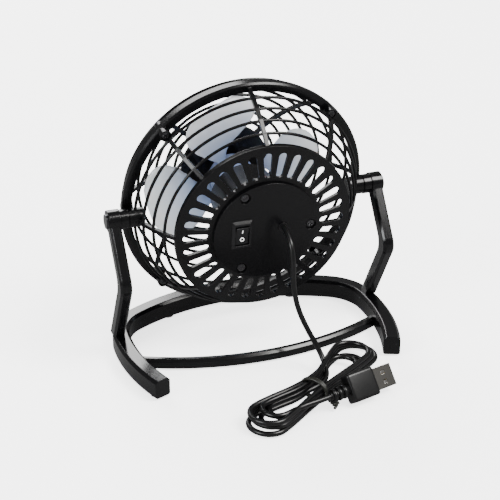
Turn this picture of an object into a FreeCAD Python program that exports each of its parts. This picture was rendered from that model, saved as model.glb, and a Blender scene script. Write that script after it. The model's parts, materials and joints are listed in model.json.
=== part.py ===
import FreeCAD, Part
import math
import os
import Sketcher

# Small desk fan on a bent stand, with a cord that ends in a charger plug.
# World frame: millimetres, +Z up, the fan blows towards -Y, the cord leaves towards +Y.
# The origin is under the middle of the stand, on the desk.
# Head frame, for every piece of the fan head: X as in the world, Y down, Z rearwards
# along the fan's axis, with the tilt pivot as origin.

Vector = FreeCAD.Vector
doc = FreeCAD.newDocument("DeskFan")
sheet = doc.addObject("Spreadsheet::Sheet", "Sizes")
derived = doc.addObject("App::VarSet", "Derived")
subparts = []


class Size:
    """A number together with the expression that gives it in the document."""

    def __init__(self, value, text):
        self.value = float(value)
        self.text = text

    def __add__(self, other):
        return combine(self, "+", other, self.value + number(other))

    def __sub__(self, other):
        return combine(self, "-", other, self.value - number(other))

    def __mul__(self, other):
        return combine(self, "*", other, self.value * number(other))

    def __truediv__(self, other):
        return combine(self, "/", other, self.value / number(other))

    def __radd__(self, other):
        return plain(other) + self

    def __rsub__(self, other):
        return plain(other) - self

    def __rmul__(self, other):
        return plain(other) * self

    def __neg__(self):
        return Size(-self.value, "(-" + self.text + ")")


def number(thing):
    return thing.value if isinstance(thing, Size) else float(thing)


def plain(thing):
    return thing if isinstance(thing, Size) else Size(thing, "%r" % float(thing))


def combine(left, sign, right, value):
    return Size(value, "(" + left.text + " " + sign + " " + plain(right).text + ")")


def root(size):
    return Size(math.sqrt(size.value), "sqrt(" + size.text + ")")


def cosine(degrees):
    return Size(math.cos(math.radians(degrees.value)), "cos(" + degrees.text + " * 1deg)")


def sine(degrees):
    return Size(math.sin(math.radians(degrees.value)), "sin(" + degrees.text + " * 1deg)")


def cell(alias, value, note):
    """Adds one driving dimension to the sheet."""
    cell.row += 1
    sheet.set("A%d" % cell.row, note)
    sheet.set("B%d" % cell.row, "%g" % value)
    sheet.setAlias("B%d" % cell.row, alias)
    return Size(value, "Sizes." + alias)


cell.row = 0


def keep(name, size):
    """Stores a worked-out value under a name of its own."""
    derived.addProperty("App::PropertyFloat", name)
    setattr(derived, name, size.value)
    derived.setExpression(name, size.text)
    return Size(size.value, "Derived." + name)


# ---------------------------------------------------------------- driving dimensions
ring_radius = cell("ring_radius", 70, "head outside radius")
head_clearance = cell("head_clearance", 12.4, "desk to the head's lowest reach while it tilts")
tilt = cell("tilt", 7.85, "rest tilt, front of the head up, degrees")

bar_width = cell("bar_width", 9.5, "stand bar across")
bar_height = cell("bar_height", 10.8, "stand bar upright")
bar_bevel = cell("bar_bevel", 1.6, "bevel on the stand bar's long edges")
pad_height = cell("pad_height", 1.2, "rubber foot under the bar")
pad_radius = cell("pad_radius", 3.4, "rubber foot radius")
side_clearance = cell("side_clearance", 5, "ring to the bar centreline, at the widest")
side_radius = cell("side_radius", 122, "side bow radius")
front_radius = cell("front_radius", 125, "front bow radius")
corner_radius = cell("corner_radius", 28, "front corner radius")
front_reach = cell("front_reach", 38.5, "front bar centreline ahead of the pivot")
widest_offset = cell("widest_offset", 10, "widest point behind the pivot")
foot_reach = cell("foot_reach", 54.5, "rear end of the feet behind the pivot")
cross_radius = cell("cross_radius", 156, "crossbar bow radius, centreline")
cross_reach = cell("cross_reach", 35.6, "crossbar centreline behind the pivot")
cross_width = cell("cross_width", 5, "crossbar across")
cross_height = cell("cross_height", 5.4, "crossbar upright")
cross_bevel = cell("cross_bevel", 1.4, "bevel on the crossbar's upper edges")

arm_thick = cell("arm_thick", 6.5, "arm thickness, left to right")
arm_width = cell("arm_width", 8, "arm width, front to back")
arm_bevel = cell("arm_bevel", 1.2, "bevel on the arm's edges")
arm_head_radius = cell("arm_head_radius", 6, "round head at the arm's top")
knee_back = cell("knee_back", 21.5, "knee behind the pivot")
knee_drop = cell("knee_drop", 30.1, "knee below the pivot")
knee_round = cell("knee_round", 9, "rounding of the knee")
arm_foot_back = cell("arm_foot_back", -1.5, "arm foot behind the pivot")
arm_screw_radius = cell("arm_screw_radius", 1.5, "screw from the bar into the arm")
arm_screw_depth = cell("arm_screw_depth", 8, "screw length inside the arm")
collar_radius = cell("collar_radius", 5.5, "friction collar")
collar_length = cell("collar_length", 4.6, "friction collar length")
pin_radius = cell("pin_radius", 2.5, "pivot pin")
pin_depth = cell("pin_depth", 6, "pivot pin inside the cage boss")
pin_head_radius = cell("pin_head_radius", 4, "pivot pin head")
pin_head_height = cell("pin_head_height", 1.2, "pivot pin head height")
running_fit = cell("running_fit", 0.06, "radial clearance of a turning fit")
side_gap = cell("side_gap", 0.3, "gap between collar and cage boss")

flange_depth = cell("flange_depth", 5, "rear flange, radially")
ring_wall = cell("ring_wall", 2, "wall of the ring")
ring_bevel = cell("ring_bevel", 1, "bevel on the ring's rear edge")
rim_step = cell("rim_step", 0.7, "front rim set back from the ring")
ring_rear = cell("ring_rear", -5.5, "rear face of the ring")
ring_joint = cell("ring_joint", -9.2, "joint between rear ring and front rim")
rim_front = cell("rim_front", -12.6, "front edge of the front rim")
hoop_count = cell("hoop_count", 4, "hoops on the rear cage")
hoop_radius = cell("hoop_radius", 0.85, "hoop section radius")
rib_count = cell("rib_count", 8, "ribs of the rear cage, spokes of the grille")
rib_width = cell("rib_width", 2.2, "rib across")
rib_depth = cell("rib_depth", 2.2, "rib radially")
cage_bulge = cell("cage_bulge", 2.4, "outward bow of the ribs")
plate_radius = cell("plate_radius", 49.8, "rear plate outside radius")
plate_rim_rear = cell("plate_rim_rear", 27.3, "rear edge of the plate's rim")
plate_rim_depth = cell("plate_rim_depth", 2.8, "rim of the plate, forwards")
plate_wall = cell("plate_wall", 1.8, "plate thickness")
seat_rear = cell("seat_rear", 29.3, "seat of the round cover")
seat_width = cell("seat_width", 7, "seat under the cover, radially")
slot_count = cell("slot_count", 32, "air slots")
slot_margin = cell("slot_margin", 3.9, "plate edge to a slot's outer end")
slot_inset = cell("slot_inset", 2.3, "cover edge to a slot's inner end")
slot_outer_round = cell("slot_outer_round", 2.5, "rounding of a slot's outer end")
slot_inner_round = cell("slot_inner_round", 1.95, "rounding of a slot's inner end")
boss_radius = cell("boss_radius", 5.2, "pivot boss on the cage")
boss_inset = cell("boss_inset", 10, "inner end of the pivot boss inside the ring")
lug_inset = cell("lug_inset", 3.4, "screw lug centres inside the ring")
lug_radius = cell("lug_radius", 3.2, "screw lug radius")
lug_rear = cell("lug_rear", -1.4, "rear face of a screw lug")
screw_radius = cell("screw_radius", 1.2, "screw shank")
screw_head_radius = cell("screw_head_radius", 2.2, "screw head")
screw_head_height = cell("screw_head_height", 1.3, "screw head height")
screw_gap = cell("screw_gap", 0.15, "clearance round screws")

dome_flat = cell("dome_flat", 24, "radius where the grille turns flat")
dome_depth = cell("dome_depth", 28, "grille ahead of the rim")
grille_rings = cell("grille_rings", 7, "rings of the front grille")
grille_pitch = cell("grille_pitch", 6, "distance between the rings")
grille_ring_radius = cell("grille_ring_radius", 0.85, "grille ring section radius")
cap_radius = cell("cap_radius", 26, "disc in the middle of the grille")
cap_thick = cell("cap_thick", 2, "disc thickness")
badge_radius = cell("badge_radius", 17, "plain badge on the disc")
badge_thick = cell("badge_thick", 0.8, "badge thickness")

cover_radius = cell("cover_radius", 29.5, "round rear cover")
cover_thick = cell("cover_thick", 2, "rear cover thickness")
cover_screw_inset = cell("cover_screw_inset", 3.8, "cover edge to the cover screws")
recess_radius = cell("recess_radius", 3.1, "recess round a cover screw")
recess_depth = cell("recess_depth", 1.2, "recess depth")

motor_room = cell("motor_room", 6.3, "motor can to the outside of its housing")
chamber_inset = cell("chamber_inset", 5, "cover edge to the switch chamber")
chamber_front = cell("chamber_front", 16, "front wall of the switch chamber")
housing_front = cell("housing_front", -9, "front wall of the motor housing")
housing_wall = cell("housing_wall", 1.5, "housing wall")
housing_inset = cell("housing_inset", 0.9, "cover edge to the housing's flange edge")
motor_radius = cell("motor_radius", 12.2, "motor can")
motor_front = cell("motor_front", -7.2, "front face of the can")
motor_length = cell("motor_length", 25, "length of the can")
can_wall = cell("can_wall", 0.8, "can wall")
end_cap_thick = cell("end_cap_thick", 2.4, "plastic end cap")
shaft_radius = cell("shaft_radius", 1, "motor shaft")
shaft_front = cell("shaft_front", -31, "front end of the shaft")
bush_radius = cell("bush_radius", 3, "bush outside radius")
bush_length = cell("bush_length", 3.4, "bush length")
magnet_thick = cell("magnet_thick", 2.2, "magnet thickness")
air_gap = cell("air_gap", 0.5, "gap between magnet and armature")
core_length = cell("core_length", 11, "armature core length")
core_slot = cell("core_slot", 2.4, "slot between armature poles")
core_web = cell("core_web", 1.6, "iron between the shaft and a slot")
commutator_radius = cell("commutator_radius", 3, "commutator")
commutator_length = cell("commutator_length", 4, "commutator length")
mount_screw_offset = cell("mount_screw_offset", 7, "motor screws from the axis")

hub_radius = cell("hub_radius", 13, "impeller hub")
hub_front = cell("hub_front", -33, "front face of the hub")
hub_rear = cell("hub_rear", -15.5, "rear edge of the hub")
hub_wall = cell("hub_wall", 1.6, "hub wall")
hub_core = cell("hub_core", 3.4, "socket round the shaft")
blade_count = cell("blade_count", 4, "blades")
blade_clearance = cell("blade_clearance", 13.5, "blade tip to the flange")
blade_spread = cell("blade_spread", 62, "blade angle about the axis, degrees")
blade_pitch = cell("blade_pitch", 11, "blade slope, degrees")
blade_thick = cell("blade_thick", 1.4, "blade thickness")
blade_middle = cell("blade_middle", -23.2, "middle of the blades on the axis")
blade_turn = cell("blade_turn", 70, "first blade from +X towards the top, degrees")
tip_round = cell("tip_round", 9, "rounding of the blade's outer corners")

switch_right = cell("switch_right", 14, "switch centre from the axis")
bezel_width = cell("bezel_width", 11.2, "switch bezel across")
bezel_height = cell("bezel_height", 17.3, "switch bezel upright")
bezel_proud = cell("bezel_proud", 1.5, "switch bezel above the cover")
bezel_bevel = cell("bezel_bevel", 1.3, "bevel round the bezel")
bezel_lip = cell("bezel_lip", 0.9, "bezel beyond the switch body, each side")
bezel_lip_end = cell("bezel_lip_end", 1.35, "bezel beyond the switch body, each end")
switch_depth = cell("switch_depth", 9.5, "switch body behind the bezel")
switch_wall = cell("switch_wall", 1.1, "switch body beyond the rocker, each side")
switch_wall_end = cell("switch_wall_end", 1.8, "switch body beyond the rocker, each end")
rocker_depth = cell("rocker_depth", 4.6, "rocker depth")
rocker_dish = cell("rocker_dish", 0.8, "hollow in the rocker's face")
rocker_turn = cell("rocker_turn", -7, "rocker off its level, degrees")
rocker_gap = cell("rocker_gap", 0.35, "gap round the rocker")
axle_radius = cell("axle_radius", 0.7, "axle of the rocker")
axle_grip = cell("axle_grip", 0.5, "axle inside the switch wall")
terminal_length = cell("terminal_length", 4, "switch terminals")

cord_radius = cell("cord_radius", 1.5, "cord")
cord_right = cell("cord_right", -9.5, "cord hole from the axis")
cord_up = cell("cord_up", 1.2, "cord hole above the axis")
grommet_radius = cell("grommet_radius", 2.5, "grommet in the cord hole")
grommet_proud = cell("grommet_proud", 0.5, "grommet above the cover")
clamp_length = cell("clamp_length", 5, "cord clamp behind the cover")

plug_width = cell("plug_width", 15.6, "plug grip across")
plug_length = cell("plug_length", 17, "plug grip length")
plug_thick = cell("plug_thick", 8, "plug grip thickness")
plug_bevel = cell("plug_bevel", 2, "plug grip bevel")
shell_width = cell("shell_width", 12, "plug shell across")
shell_thick = cell("shell_thick", 4.5, "plug shell thickness")
shell_length = cell("shell_length", 12, "plug shell outside the grip")
shell_wall = cell("shell_wall", 0.3, "plug shell sheet")
tongue_thick = cell("tongue_thick", 1.9, "plastic tongue in the shell")
contact_width = cell("contact_width", 1, "plug contact")
contact_thick = cell("contact_thick", 0.25, "plug contact thickness")
relief_length = cell("relief_length", 11, "strain relief of the plug")
relief_root = cell("relief_root", 3.4, "strain relief radius at the grip")
relief_tip = cell("relief_tip", 2.1, "strain relief radius at the cord")
plug_x = cell("plug_x", -24.3, "rear face of the grip, X")
plug_y = cell("plug_y", 85.1, "rear face of the grip, Y")
plug_z = cell("plug_z", 8.4, "rear face of the grip, Z")
plug_turn = cell("plug_turn", 195, "plug direction in the desk plane, degrees")
plug_roll = cell("plug_roll", 53, "plug rolled towards the rear, degrees")
hank_height = cell("hank_height", 10.4, "thickness of the tied bundle")
bundle_half = cell("bundle_half", 7, "half the bundle's width at the tie")
tie_width = cell("tie_width", 2.6, "twist tie along the bundle")
tie_thick = cell("tie_thick", 0.6, "twist tie thickness")
tie_turn = cell("tie_turn", 32, "bundle direction at the tie, degrees")
tie_tail = cell("tie_tail", 13, "twisted ends of the tie")
doc.recompute()

# ---------------------------------------------------------------- worked-out places
pivot_height = keep("pivot_height", ring_radius + head_clearance)
side_reach = keep("side_reach", ring_radius + side_clearance)
flange_inner = keep("flange_inner", ring_radius - flange_depth)
boss_inner = keep("boss_inner", ring_radius - boss_inset)
lug_circle = keep("lug_circle", ring_radius - lug_inset)
blade_radius = keep("blade_radius", flange_inner - blade_clearance)
slot_outer = keep("slot_outer", plate_radius - slot_margin)
slot_inner = keep("slot_inner", cover_radius + slot_inset)
seat_inner = keep("seat_inner", cover_radius - seat_width)
cover_screw_circle = keep("cover_screw_circle", cover_radius - cover_screw_inset)
housing_flange = keep("housing_flange", cover_radius - housing_inset)
chamber_radius = keep("chamber_radius", cover_radius - chamber_inset)
housing_radius = keep("housing_radius", motor_radius + motor_room)
switch_width = keep("switch_width", bezel_width - bezel_lip * 2)
switch_height = keep("switch_height", bezel_height - bezel_lip_end * 2)
rocker_width = keep("rocker_width", switch_width - switch_wall * 2)
rocker_height = keep("rocker_height", switch_height - switch_wall_end * 2)
half_bar = keep("half_bar", bar_width / 2)
foot_rear = keep("foot_rear", foot_reach + half_bar * (foot_reach - widest_offset) / side_radius)
pivot_y = keep("pivot_y", (front_reach + half_bar - foot_rear) / 2)
head_turn = keep("head_turn", -(tilt + 90))
bar_top = keep("bar_top", pad_height + bar_height)
arm_outer = keep("arm_outer", side_reach + half_bar)
arm_inner = keep("arm_inner", arm_outer - arm_thick)
boss_outer = keep("boss_outer", arm_inner - collar_length - side_gap)
cage_start = keep("cage_start", flange_inner + ring_wall)
cover_rear = keep("cover_rear", seat_rear + cover_thick)
seat_outer = keep("seat_outer", cover_radius + 0.5)
seat_front = keep("seat_front", seat_rear - plate_wall)
motor_rear = keep("motor_rear", motor_front + motor_length)
dome_span = keep("dome_span", ring_radius - ring_wall / 2 - dome_flat)
dome_radius = keep("dome_radius", (dome_span * dome_span + dome_depth * dome_depth) / (2 * dome_depth))
dome_centre = keep("dome_centre", rim_front - dome_depth + dome_radius)


# ---------------------------------------------------------------- sketch helpers
def begin(name):
    return doc.addObject("PartDesign::Body", name)


def plane_of(body, role):
    return [item for item in body.Origin.OriginFeatures if item.Role == role][0]


def sketch_on(body, role, name, offset=None):
    sketch = body.newObject("Sketcher::SketchObject", name)
    sketch.AttachmentSupport = [(plane_of(body, role), "")]
    sketch.MapMode = "FlatFace"
    if offset is not None:
        sketch.AttachmentOffset = FreeCAD.Placement(Vector(0, 0, offset.value), FreeCAD.Rotation())
        sketch.setExpression("AttachmentOffset.Base.z", offset.text)
    return sketch


def pin_point(sketch, geometry, point, across, up):
    """Ties a point of the sketch to a place given by two sizes."""
    for kind, axis, size in (("DistanceX", -2, plain(across)), ("DistanceY", -1, plain(up))):
        if size.text in ("0.0", "0"):
            sketch.addConstraint(Sketcher.Constraint("PointOnObject", geometry, point, axis))
        elif size.value >= 0:
            index = sketch.addConstraint(Sketcher.Constraint(kind, -1, 1, geometry, point, size.value))
            sketch.setExpression("Constraints[%d]" % index, size.text)
        else:
            index = sketch.addConstraint(Sketcher.Constraint(kind, geometry, point, -1, 1, -size.value))
            sketch.setExpression("Constraints[%d]" % index, (-size).text)


def polygon(sketch, points):
    """Closed outline through the given pairs of sizes."""
    places = [Vector(number(x), number(y), 0) for x, y in points]
    count = len(points)
    first = sketch.GeometryCount
    for i in range(count):
        sketch.addGeometry(Part.LineSegment(places[i], places[(i + 1) % count]), False)
    for i in range(count):
        follower = first + (i + 1) % count
        sketch.addConstraint(Sketcher.Constraint("Coincident", first + i, 2, follower, 1))
        pin_point(sketch, first + i, 1, points[i][0], points[i][1])


def circle(sketch, across, up, radius):
    middle = Vector(number(across), number(up), 0)
    index = sketch.addGeometry(Part.Circle(middle, Vector(0, 0, 1), radius.value), False)
    pin_point(sketch, index, 3, across, up)
    rule = sketch.addConstraint(Sketcher.Constraint("Radius", index, radius.value))
    sketch.setExpression("Constraints[%d]" % rule, radius.text)


def rectangle(sketch, left, right, low, high):
    polygon(sketch, [(left, low), (right, low), (right, high), (left, high)])


def tapered_slot(sketch, inner, outer, inner_round, outer_round):
    """Obround between two radii on the X axis, with two different end radii."""
    near, far = (inner + inner_round).value, (outer - outer_round).value
    small, large = inner_round.value, outer_round.value
    lean = math.asin((large - small) / (far - near))
    turn = math.pi / 2 + lean
    up = Vector(0, 0, 1)
    arcs = [(far, large, -turn, turn), (near, small, turn, 2 * math.pi - turn)]
    for middle, radius, start, end in arcs:
        rounding = Part.Circle(Vector(middle, 0, 0), up, radius)
        sketch.addGeometry(Part.ArcOfCircle(rounding, start, end), False)
    ends = [Vector(m + r * math.cos(turn), r * math.sin(turn), 0) for m, r in ((far, large), (near, small))]
    sketch.addGeometry(Part.LineSegment(ends[0], ends[1]), False)
    sketch.addGeometry(Part.LineSegment(ends[1] - Vector(0, 2 * ends[1].y, 0),
                                        ends[0] - Vector(0, 2 * ends[0].y, 0)), False)
    for pair in ((0, 2, 2, 1), (2, 2, 1, 1), (1, 2, 3, 1), (3, 2, 0, 1)):
        sketch.addConstraint(Sketcher.Constraint("Tangent", *pair))
    pin_point(sketch, 0, 3, outer - outer_round, 0)
    pin_point(sketch, 1, 3, inner + inner_round, 0)
    for index, size in ((0, outer_round), (1, inner_round)):
        rule = sketch.addConstraint(Sketcher.Constraint("Radius", index, size.value))
        sketch.setExpression("Constraints[%d]" % rule, size.text)


# ---------------------------------------------------------------- feature helpers
def feature(body, kind, name, sketch):
    item = body.newObject("PartDesign::" + kind, name)
    item.Profile = sketch
    sketch.Visibility = False
    body.Tip = item
    return item


def revolve(body, name, sketch):
    item = feature(body, "Revolution", name, sketch)
    item.ReferenceAxis = (sketch, ["V_Axis"])
    item.Angle = 360
    return item


def pad(body, name, sketch, length, middle=False, back=False):
    item = feature(body, "Pad", name, sketch)
    item.Length = length.value
    item.setExpression("Length", length.text)
    item.SideType = "Symmetric" if middle else "One side"
    item.Reversed = back
    return item


def pocket(body, name, sketch, length=None, back=False):
    """Cut; without a length it goes through everything, both ways."""
    item = feature(body, "Pocket", name, sketch)
    if length is None:
        item.Type = "ThroughAll"
        item.SideType = "Symmetric"
    else:
        item.Length = length.value
        item.setExpression("Length", length.text)
        item.Reversed = back
    return item


def polar(body, name, items, count):
    """Repeats features around the body's own Z axis."""
    pattern = body.newObject("PartDesign::PolarPattern", name)
    pattern.Originals = items
    pattern.Axis = (plane_of(body, "Z_Axis"), [""])
    pattern.Angle = 360
    pattern.Occurrences = int(count.value)
    pattern.setExpression("Occurrences", count.text)
    body.Tip = pattern
    return pattern


def mirrored(body, name, items, role):
    copy = body.newObject("PartDesign::Mirrored", name)
    copy.Originals = items
    copy.MirrorPlane = (plane_of(body, role), [""])
    body.Tip = copy
    return copy


# ---------------------------------------------------------------- primitive helpers
def tie(item, values):
    """Binds properties of an object to sizes."""
    for name, size in values.items():
        if size.text not in ("0.0", "0"):
            item.setExpression(name, size.text)


def place(item, x, y, z, axis=None, angle=None):
    spin = FreeCAD.Rotation(axis, number(angle)) if axis is not None else FreeCAD.Rotation()
    item.Placement = FreeCAD.Placement(Vector(number(x), number(y), number(z)), spin)
    tie(item, {"Placement.Base.x": plain(x), "Placement.Base.y": plain(y), "Placement.Base.z": plain(z)})
    if isinstance(angle, Size):
        item.setExpression("Placement.Rotation.Angle", angle.text)
    return item


def rod(name, radius, start, end, x=0.0, y=0.0):
    """Cylinder along Z between two heights."""
    item = doc.addObject("Part::Cylinder", name)
    length = plain(end) - start
    item.Radius, item.Height = radius.value, length.value
    tie(item, {"Radius": radius, "Height": length})
    return place(item, x, y, start)


def cross_rod(name, radius, start, end, y=0.0, z=0.0):
    """Cylinder along X between two places."""
    item = doc.addObject("Part::Cylinder", name)
    length = plain(end) - start
    item.Radius, item.Height = radius.value, length.value
    tie(item, {"Radius": radius, "Height": length})
    return place(item, start, y, z, Vector(0, 1, 0), 90)


def block(name, width, depth, height, x, y, z):
    """Box centred on x and y that stands on z."""
    item = doc.addObject("Part::Box", name)
    sizes = {"Length": plain(width), "Width": plain(depth), "Height": plain(height)}
    for key, size in sizes.items():
        setattr(item, key, size.value)
    tie(item, sizes)
    return place(item, plain(x) - plain(width) / 2, plain(y) - plain(depth) / 2, z)


def cut(name, base, tools):
    tool = tools[0] if len(tools) == 1 else fuse(name + "_tools", tools)
    item = doc.addObject("Part::Cut", name)
    item.Base, item.Tool = base, tool
    return item


def fuse(name, items):
    item = doc.addObject("Part::MultiFuse", name)
    item.Shapes = items
    return item


def group(name, items):
    item = doc.addObject("Part::Compound", name)
    item.Links = items
    return item


def subpart(item, node):
    item.Label = node
    subparts.append(item)
    return item


def on_head(item, node):
    """Finishes a piece that was drawn in the head frame."""
    place(item, 0.0, pivot_y, pivot_height, Vector(1, 0, 0), head_turn)
    return subpart(item, node)


def around(radius, degrees):
    """Place on a circle in the head frame; degrees run from +X towards the top."""
    return radius * cosine(plain(degrees)), -(radius * sine(plain(degrees)))


# ---------------------------------------------------------------- stand
def corner_middle():
    """Centre of the corner arc that touches the front bow and the side bow."""
    front_y = pivot_y.value - front_reach.value + front_radius.value
    side_x = side_reach.value - side_radius.value
    side_y = pivot_y.value + widest_offset.value
    to_front = front_radius.value - corner_radius.value
    to_side = side_radius.value - corner_radius.value
    gap = Vector(side_x, side_y - front_y, 0)
    along = (to_front ** 2 - to_side ** 2 + gap.Length ** 2) / (2 * gap.Length)
    across = math.sqrt(to_front ** 2 - along ** 2)
    ahead = Vector(gap).normalize()
    aside = Vector(-ahead.y, ahead.x, 0)
    return Vector(0, front_y, 0), Vector(side_x, side_y, 0), \
        Vector(0, front_y, 0) + ahead * along + aside * across


def bow_path(sketch):
    """Half of the stand's plan: front bow, corner and side bow, each tangent to the next."""
    front, side, corner = corner_middle()
    start = Vector(0, front.y - front_radius.value, 0)
    first = front + (corner - front).normalize() * front_radius.value
    second = side + (corner - side).normalize() * side_radius.value
    foot_y = pivot_y.value + foot_reach.value
    foot_x = side.x + math.sqrt(side_radius.value ** 2 - (foot_y - side.y) ** 2)
    runs = ((front, front_radius, start, first), (corner, corner_radius, first, second),
            (side, side_radius, second, Vector(foot_x, foot_y, 0)))
    for middle, radius, begin_at, end_at in runs:
        angles = [math.atan2(p.y - middle.y, p.x - middle.x) for p in (begin_at, end_at)]
        bow = Part.Circle(middle, Vector(0, 0, 1), radius.value)
        index = sketch.addGeometry(Part.ArcOfCircle(bow, angles[0], angles[1]), False)
        rule = sketch.addConstraint(Sketcher.Constraint("Radius", index, radius.value))
        sketch.setExpression("Constraints[%d]" % rule, radius.text)
    sketch.addConstraint(Sketcher.Constraint("Tangent", 0, 2, 1, 1))
    sketch.addConstraint(Sketcher.Constraint("Tangent", 1, 2, 2, 1))
    pin_point(sketch, 0, 1, 0.0, pivot_y - front_reach)
    sketch.addConstraint(Sketcher.Constraint("PointOnObject", 0, 3, -2))
    pin_point(sketch, 2, 3, side_reach - side_radius, pivot_y + widest_offset)
    foot = pivot_y + foot_reach
    rule = sketch.addConstraint(Sketcher.Constraint("DistanceY", -1, 1, 2, 2, foot.value))
    sketch.setExpression("Constraints[%d]" % rule, foot.text)


def bevelled_bar(sketch, middle, width, low, high, bevel, bevel_below=True):
    """Bar section with bevelled long edges."""
    left, right = middle - width / 2, middle + width / 2
    top = [(right, high - bevel), (right - bevel, high), (left + bevel, high), (left, high - bevel)]
    if bevel_below:
        polygon(sketch, [(left, low + bevel / 2), (left + bevel / 2, low), (right - bevel / 2, low),
                         (right, low + bevel / 2)] + top)
    else:
        polygon(sketch, [(left, low), (right, low)] + top)


def make_base():
    body = begin("Base")
    path = sketch_on(body, "XY_Plane", "BasePath")
    bow_path(path)
    section = sketch_on(body, "YZ_Plane", "BaseSection")
    bevelled_bar(section, pivot_y - front_reach, bar_width, pad_height, bar_top, bar_bevel)
    half = feature(body, "AdditivePipe", "BaseHalf", section)
    half.Spine = (path, ["Edge1", "Edge2", "Edge3"])
    path.Visibility = False
    mirrored(body, "BaseBoth", [half], "YZ_Plane")
    holes = sketch_on(body, "XY_Plane", "BaseHoles")
    for side in (1, -1):
        circle(holes, (arm_inner + arm_thick / 2) * side, pivot_y + arm_foot_back, arm_screw_radius + screw_gap)
    pocket(body, "BaseScrewHoles", holes)
    return subpart(body, "base_frame")


def make_crossbar(base):
    body = begin("Cross")
    section = sketch_on(body, "YZ_Plane", "CrossSection")
    bevelled_bar(section, cross_reach + pivot_y, cross_width, pad_height, pad_height + cross_height,
                 cross_bevel, False)
    bow = body.newObject("PartDesign::Revolution", "CrossBow")
    bow.Profile = section
    body.Tip = bow
    axis = sketch_on(body, "YZ_Plane", "CrossAxis")
    axis.addGeometry(Part.LineSegment(Vector(pivot_y.value + cross_reach.value - cross_radius.value, 0, 0),
                                      Vector(pivot_y.value + cross_reach.value - cross_radius.value, 9, 0)), False)
    axis.addConstraint(Sketcher.Constraint("Vertical", 0))
    pin_point(axis, 0, 1, pivot_y + cross_reach - cross_radius, 0.0)
    rule = axis.addConstraint(Sketcher.Constraint("Distance", 0, bar_height.value))
    axis.setExpression("Constraints[%d]" % rule, bar_height.text)
    bow.ReferenceAxis = (axis, ["Edge1"])
    bow.Midplane = True
    bow.Angle = 60
    axis.Visibility = False
    section.Visibility = False
    # Only the stretch between the side bars is left.
    keeper = block("CrossKeeper", side_reach * 2, side_reach * 2, bar_height, 0.0, cross_reach, 0.0)
    inside = doc.addObject("Part::Common", "CrossInside")
    inside.Base, inside.Tool = body, keeper
    return subpart(cut("CrossBar", inside, [base]), "rear_crossbar")


def unit(dy, dz):
    length = root(dy * dy + dz * dz)
    return dy / length, dz / length


def make_arm(side, node):
    """One arm: round head, upper limb back to the knee, lower limb forward to the bar."""
    body = begin("Arm" + node[0].upper())
    up_y, up_z = unit(knee_back, -knee_drop)
    foot_drop = pivot_height - bar_top
    low_y, low_z = unit(arm_foot_back - knee_back, knee_drop - foot_drop)
    up_y, up_z, low_y, low_z = [keep("%s_run%d" % (node, i), size)
                                for i, size in enumerate((up_y, up_z, low_y, low_z))]
    half = arm_width / 2
    share = keep(node + "_miter", half / (1 + up_y * low_y + up_z * low_z))
    slide = keep(node + "_slide", half / low_z)
    edge = []
    for sign in (1, -1):
        edge.append([(-up_z * half * sign, up_y * half * sign),
                     (knee_back - (up_z + low_z) * share * sign, -knee_drop + (up_y + low_y) * share * sign),
                     (arm_foot_back - slide * sign, -foot_drop)])
    outline = sketch_on(body, "YZ_Plane", node + "_outline")
    polygon(outline, edge[0] + edge[1][::-1])
    limbs = pad(body, node + "_limbs", outline, arm_thick, middle=True)
    doc.recompute()
    knee = ["Edge%d" % (i + 1) for i, line in enumerate(limbs.Shape.Edges)
            if abs(line.Vertexes[0].Z - line.Vertexes[1].Z) < 1e-6
            and abs(line.CenterOfMass.z + knee_drop.value) < knee_drop.value / 3
            and abs(line.CenterOfMass.x) < 1e-6]
    rounding = body.newObject("PartDesign::Fillet", node + "_rounding")
    rounding.Base = (limbs, knee)
    rounding.Radius = knee_round.value
    rounding.setExpression("Radius", knee_round.text)
    body.Tip = rounding
    limbs = rounding
    doc.recompute()
    bevel = body.newObject("PartDesign::Chamfer", node + "_bevel")
    long_edges = []
    for i, line in enumerate(limbs.Shape.Edges):
        ends = [vertex.Point for vertex in line.Vertexes]
        flat = abs(ends[0].x - ends[1].x) < 1e-6
        short = (ends[0] - ends[1]).Length < arm_width.value * 1.3
        if flat and not short:
            long_edges.append("Edge%d" % (i + 1))
    bevel.Base = (limbs, long_edges)
    bevel.Size = arm_bevel.value
    bevel.setExpression("Size", arm_bevel.text)
    body.Tip = bevel
    head = sketch_on(body, "YZ_Plane", node + "_head")
    circle(head, 0.0, 0.0, arm_head_radius)
    pad(body, node + "_head_pad", head, arm_thick, middle=True)
    bore = sketch_on(body, "YZ_Plane", node + "_bore")
    circle(bore, 0.0, 0.0, pin_radius)
    pocket(body, node + "_pin_bore", bore)
    pilot = sketch_on(body, "XY_Plane", node + "_pilot", -foot_drop)
    circle(pilot, 0.0, arm_foot_back, arm_screw_radius)
    pocket(body, node + "_screw_pilot", pilot, arm_screw_depth + screw_gap, back=True)
    place(body, (arm_inner + arm_thick / 2) * side, pivot_y, pivot_height)
    return subpart(body, node)


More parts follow.
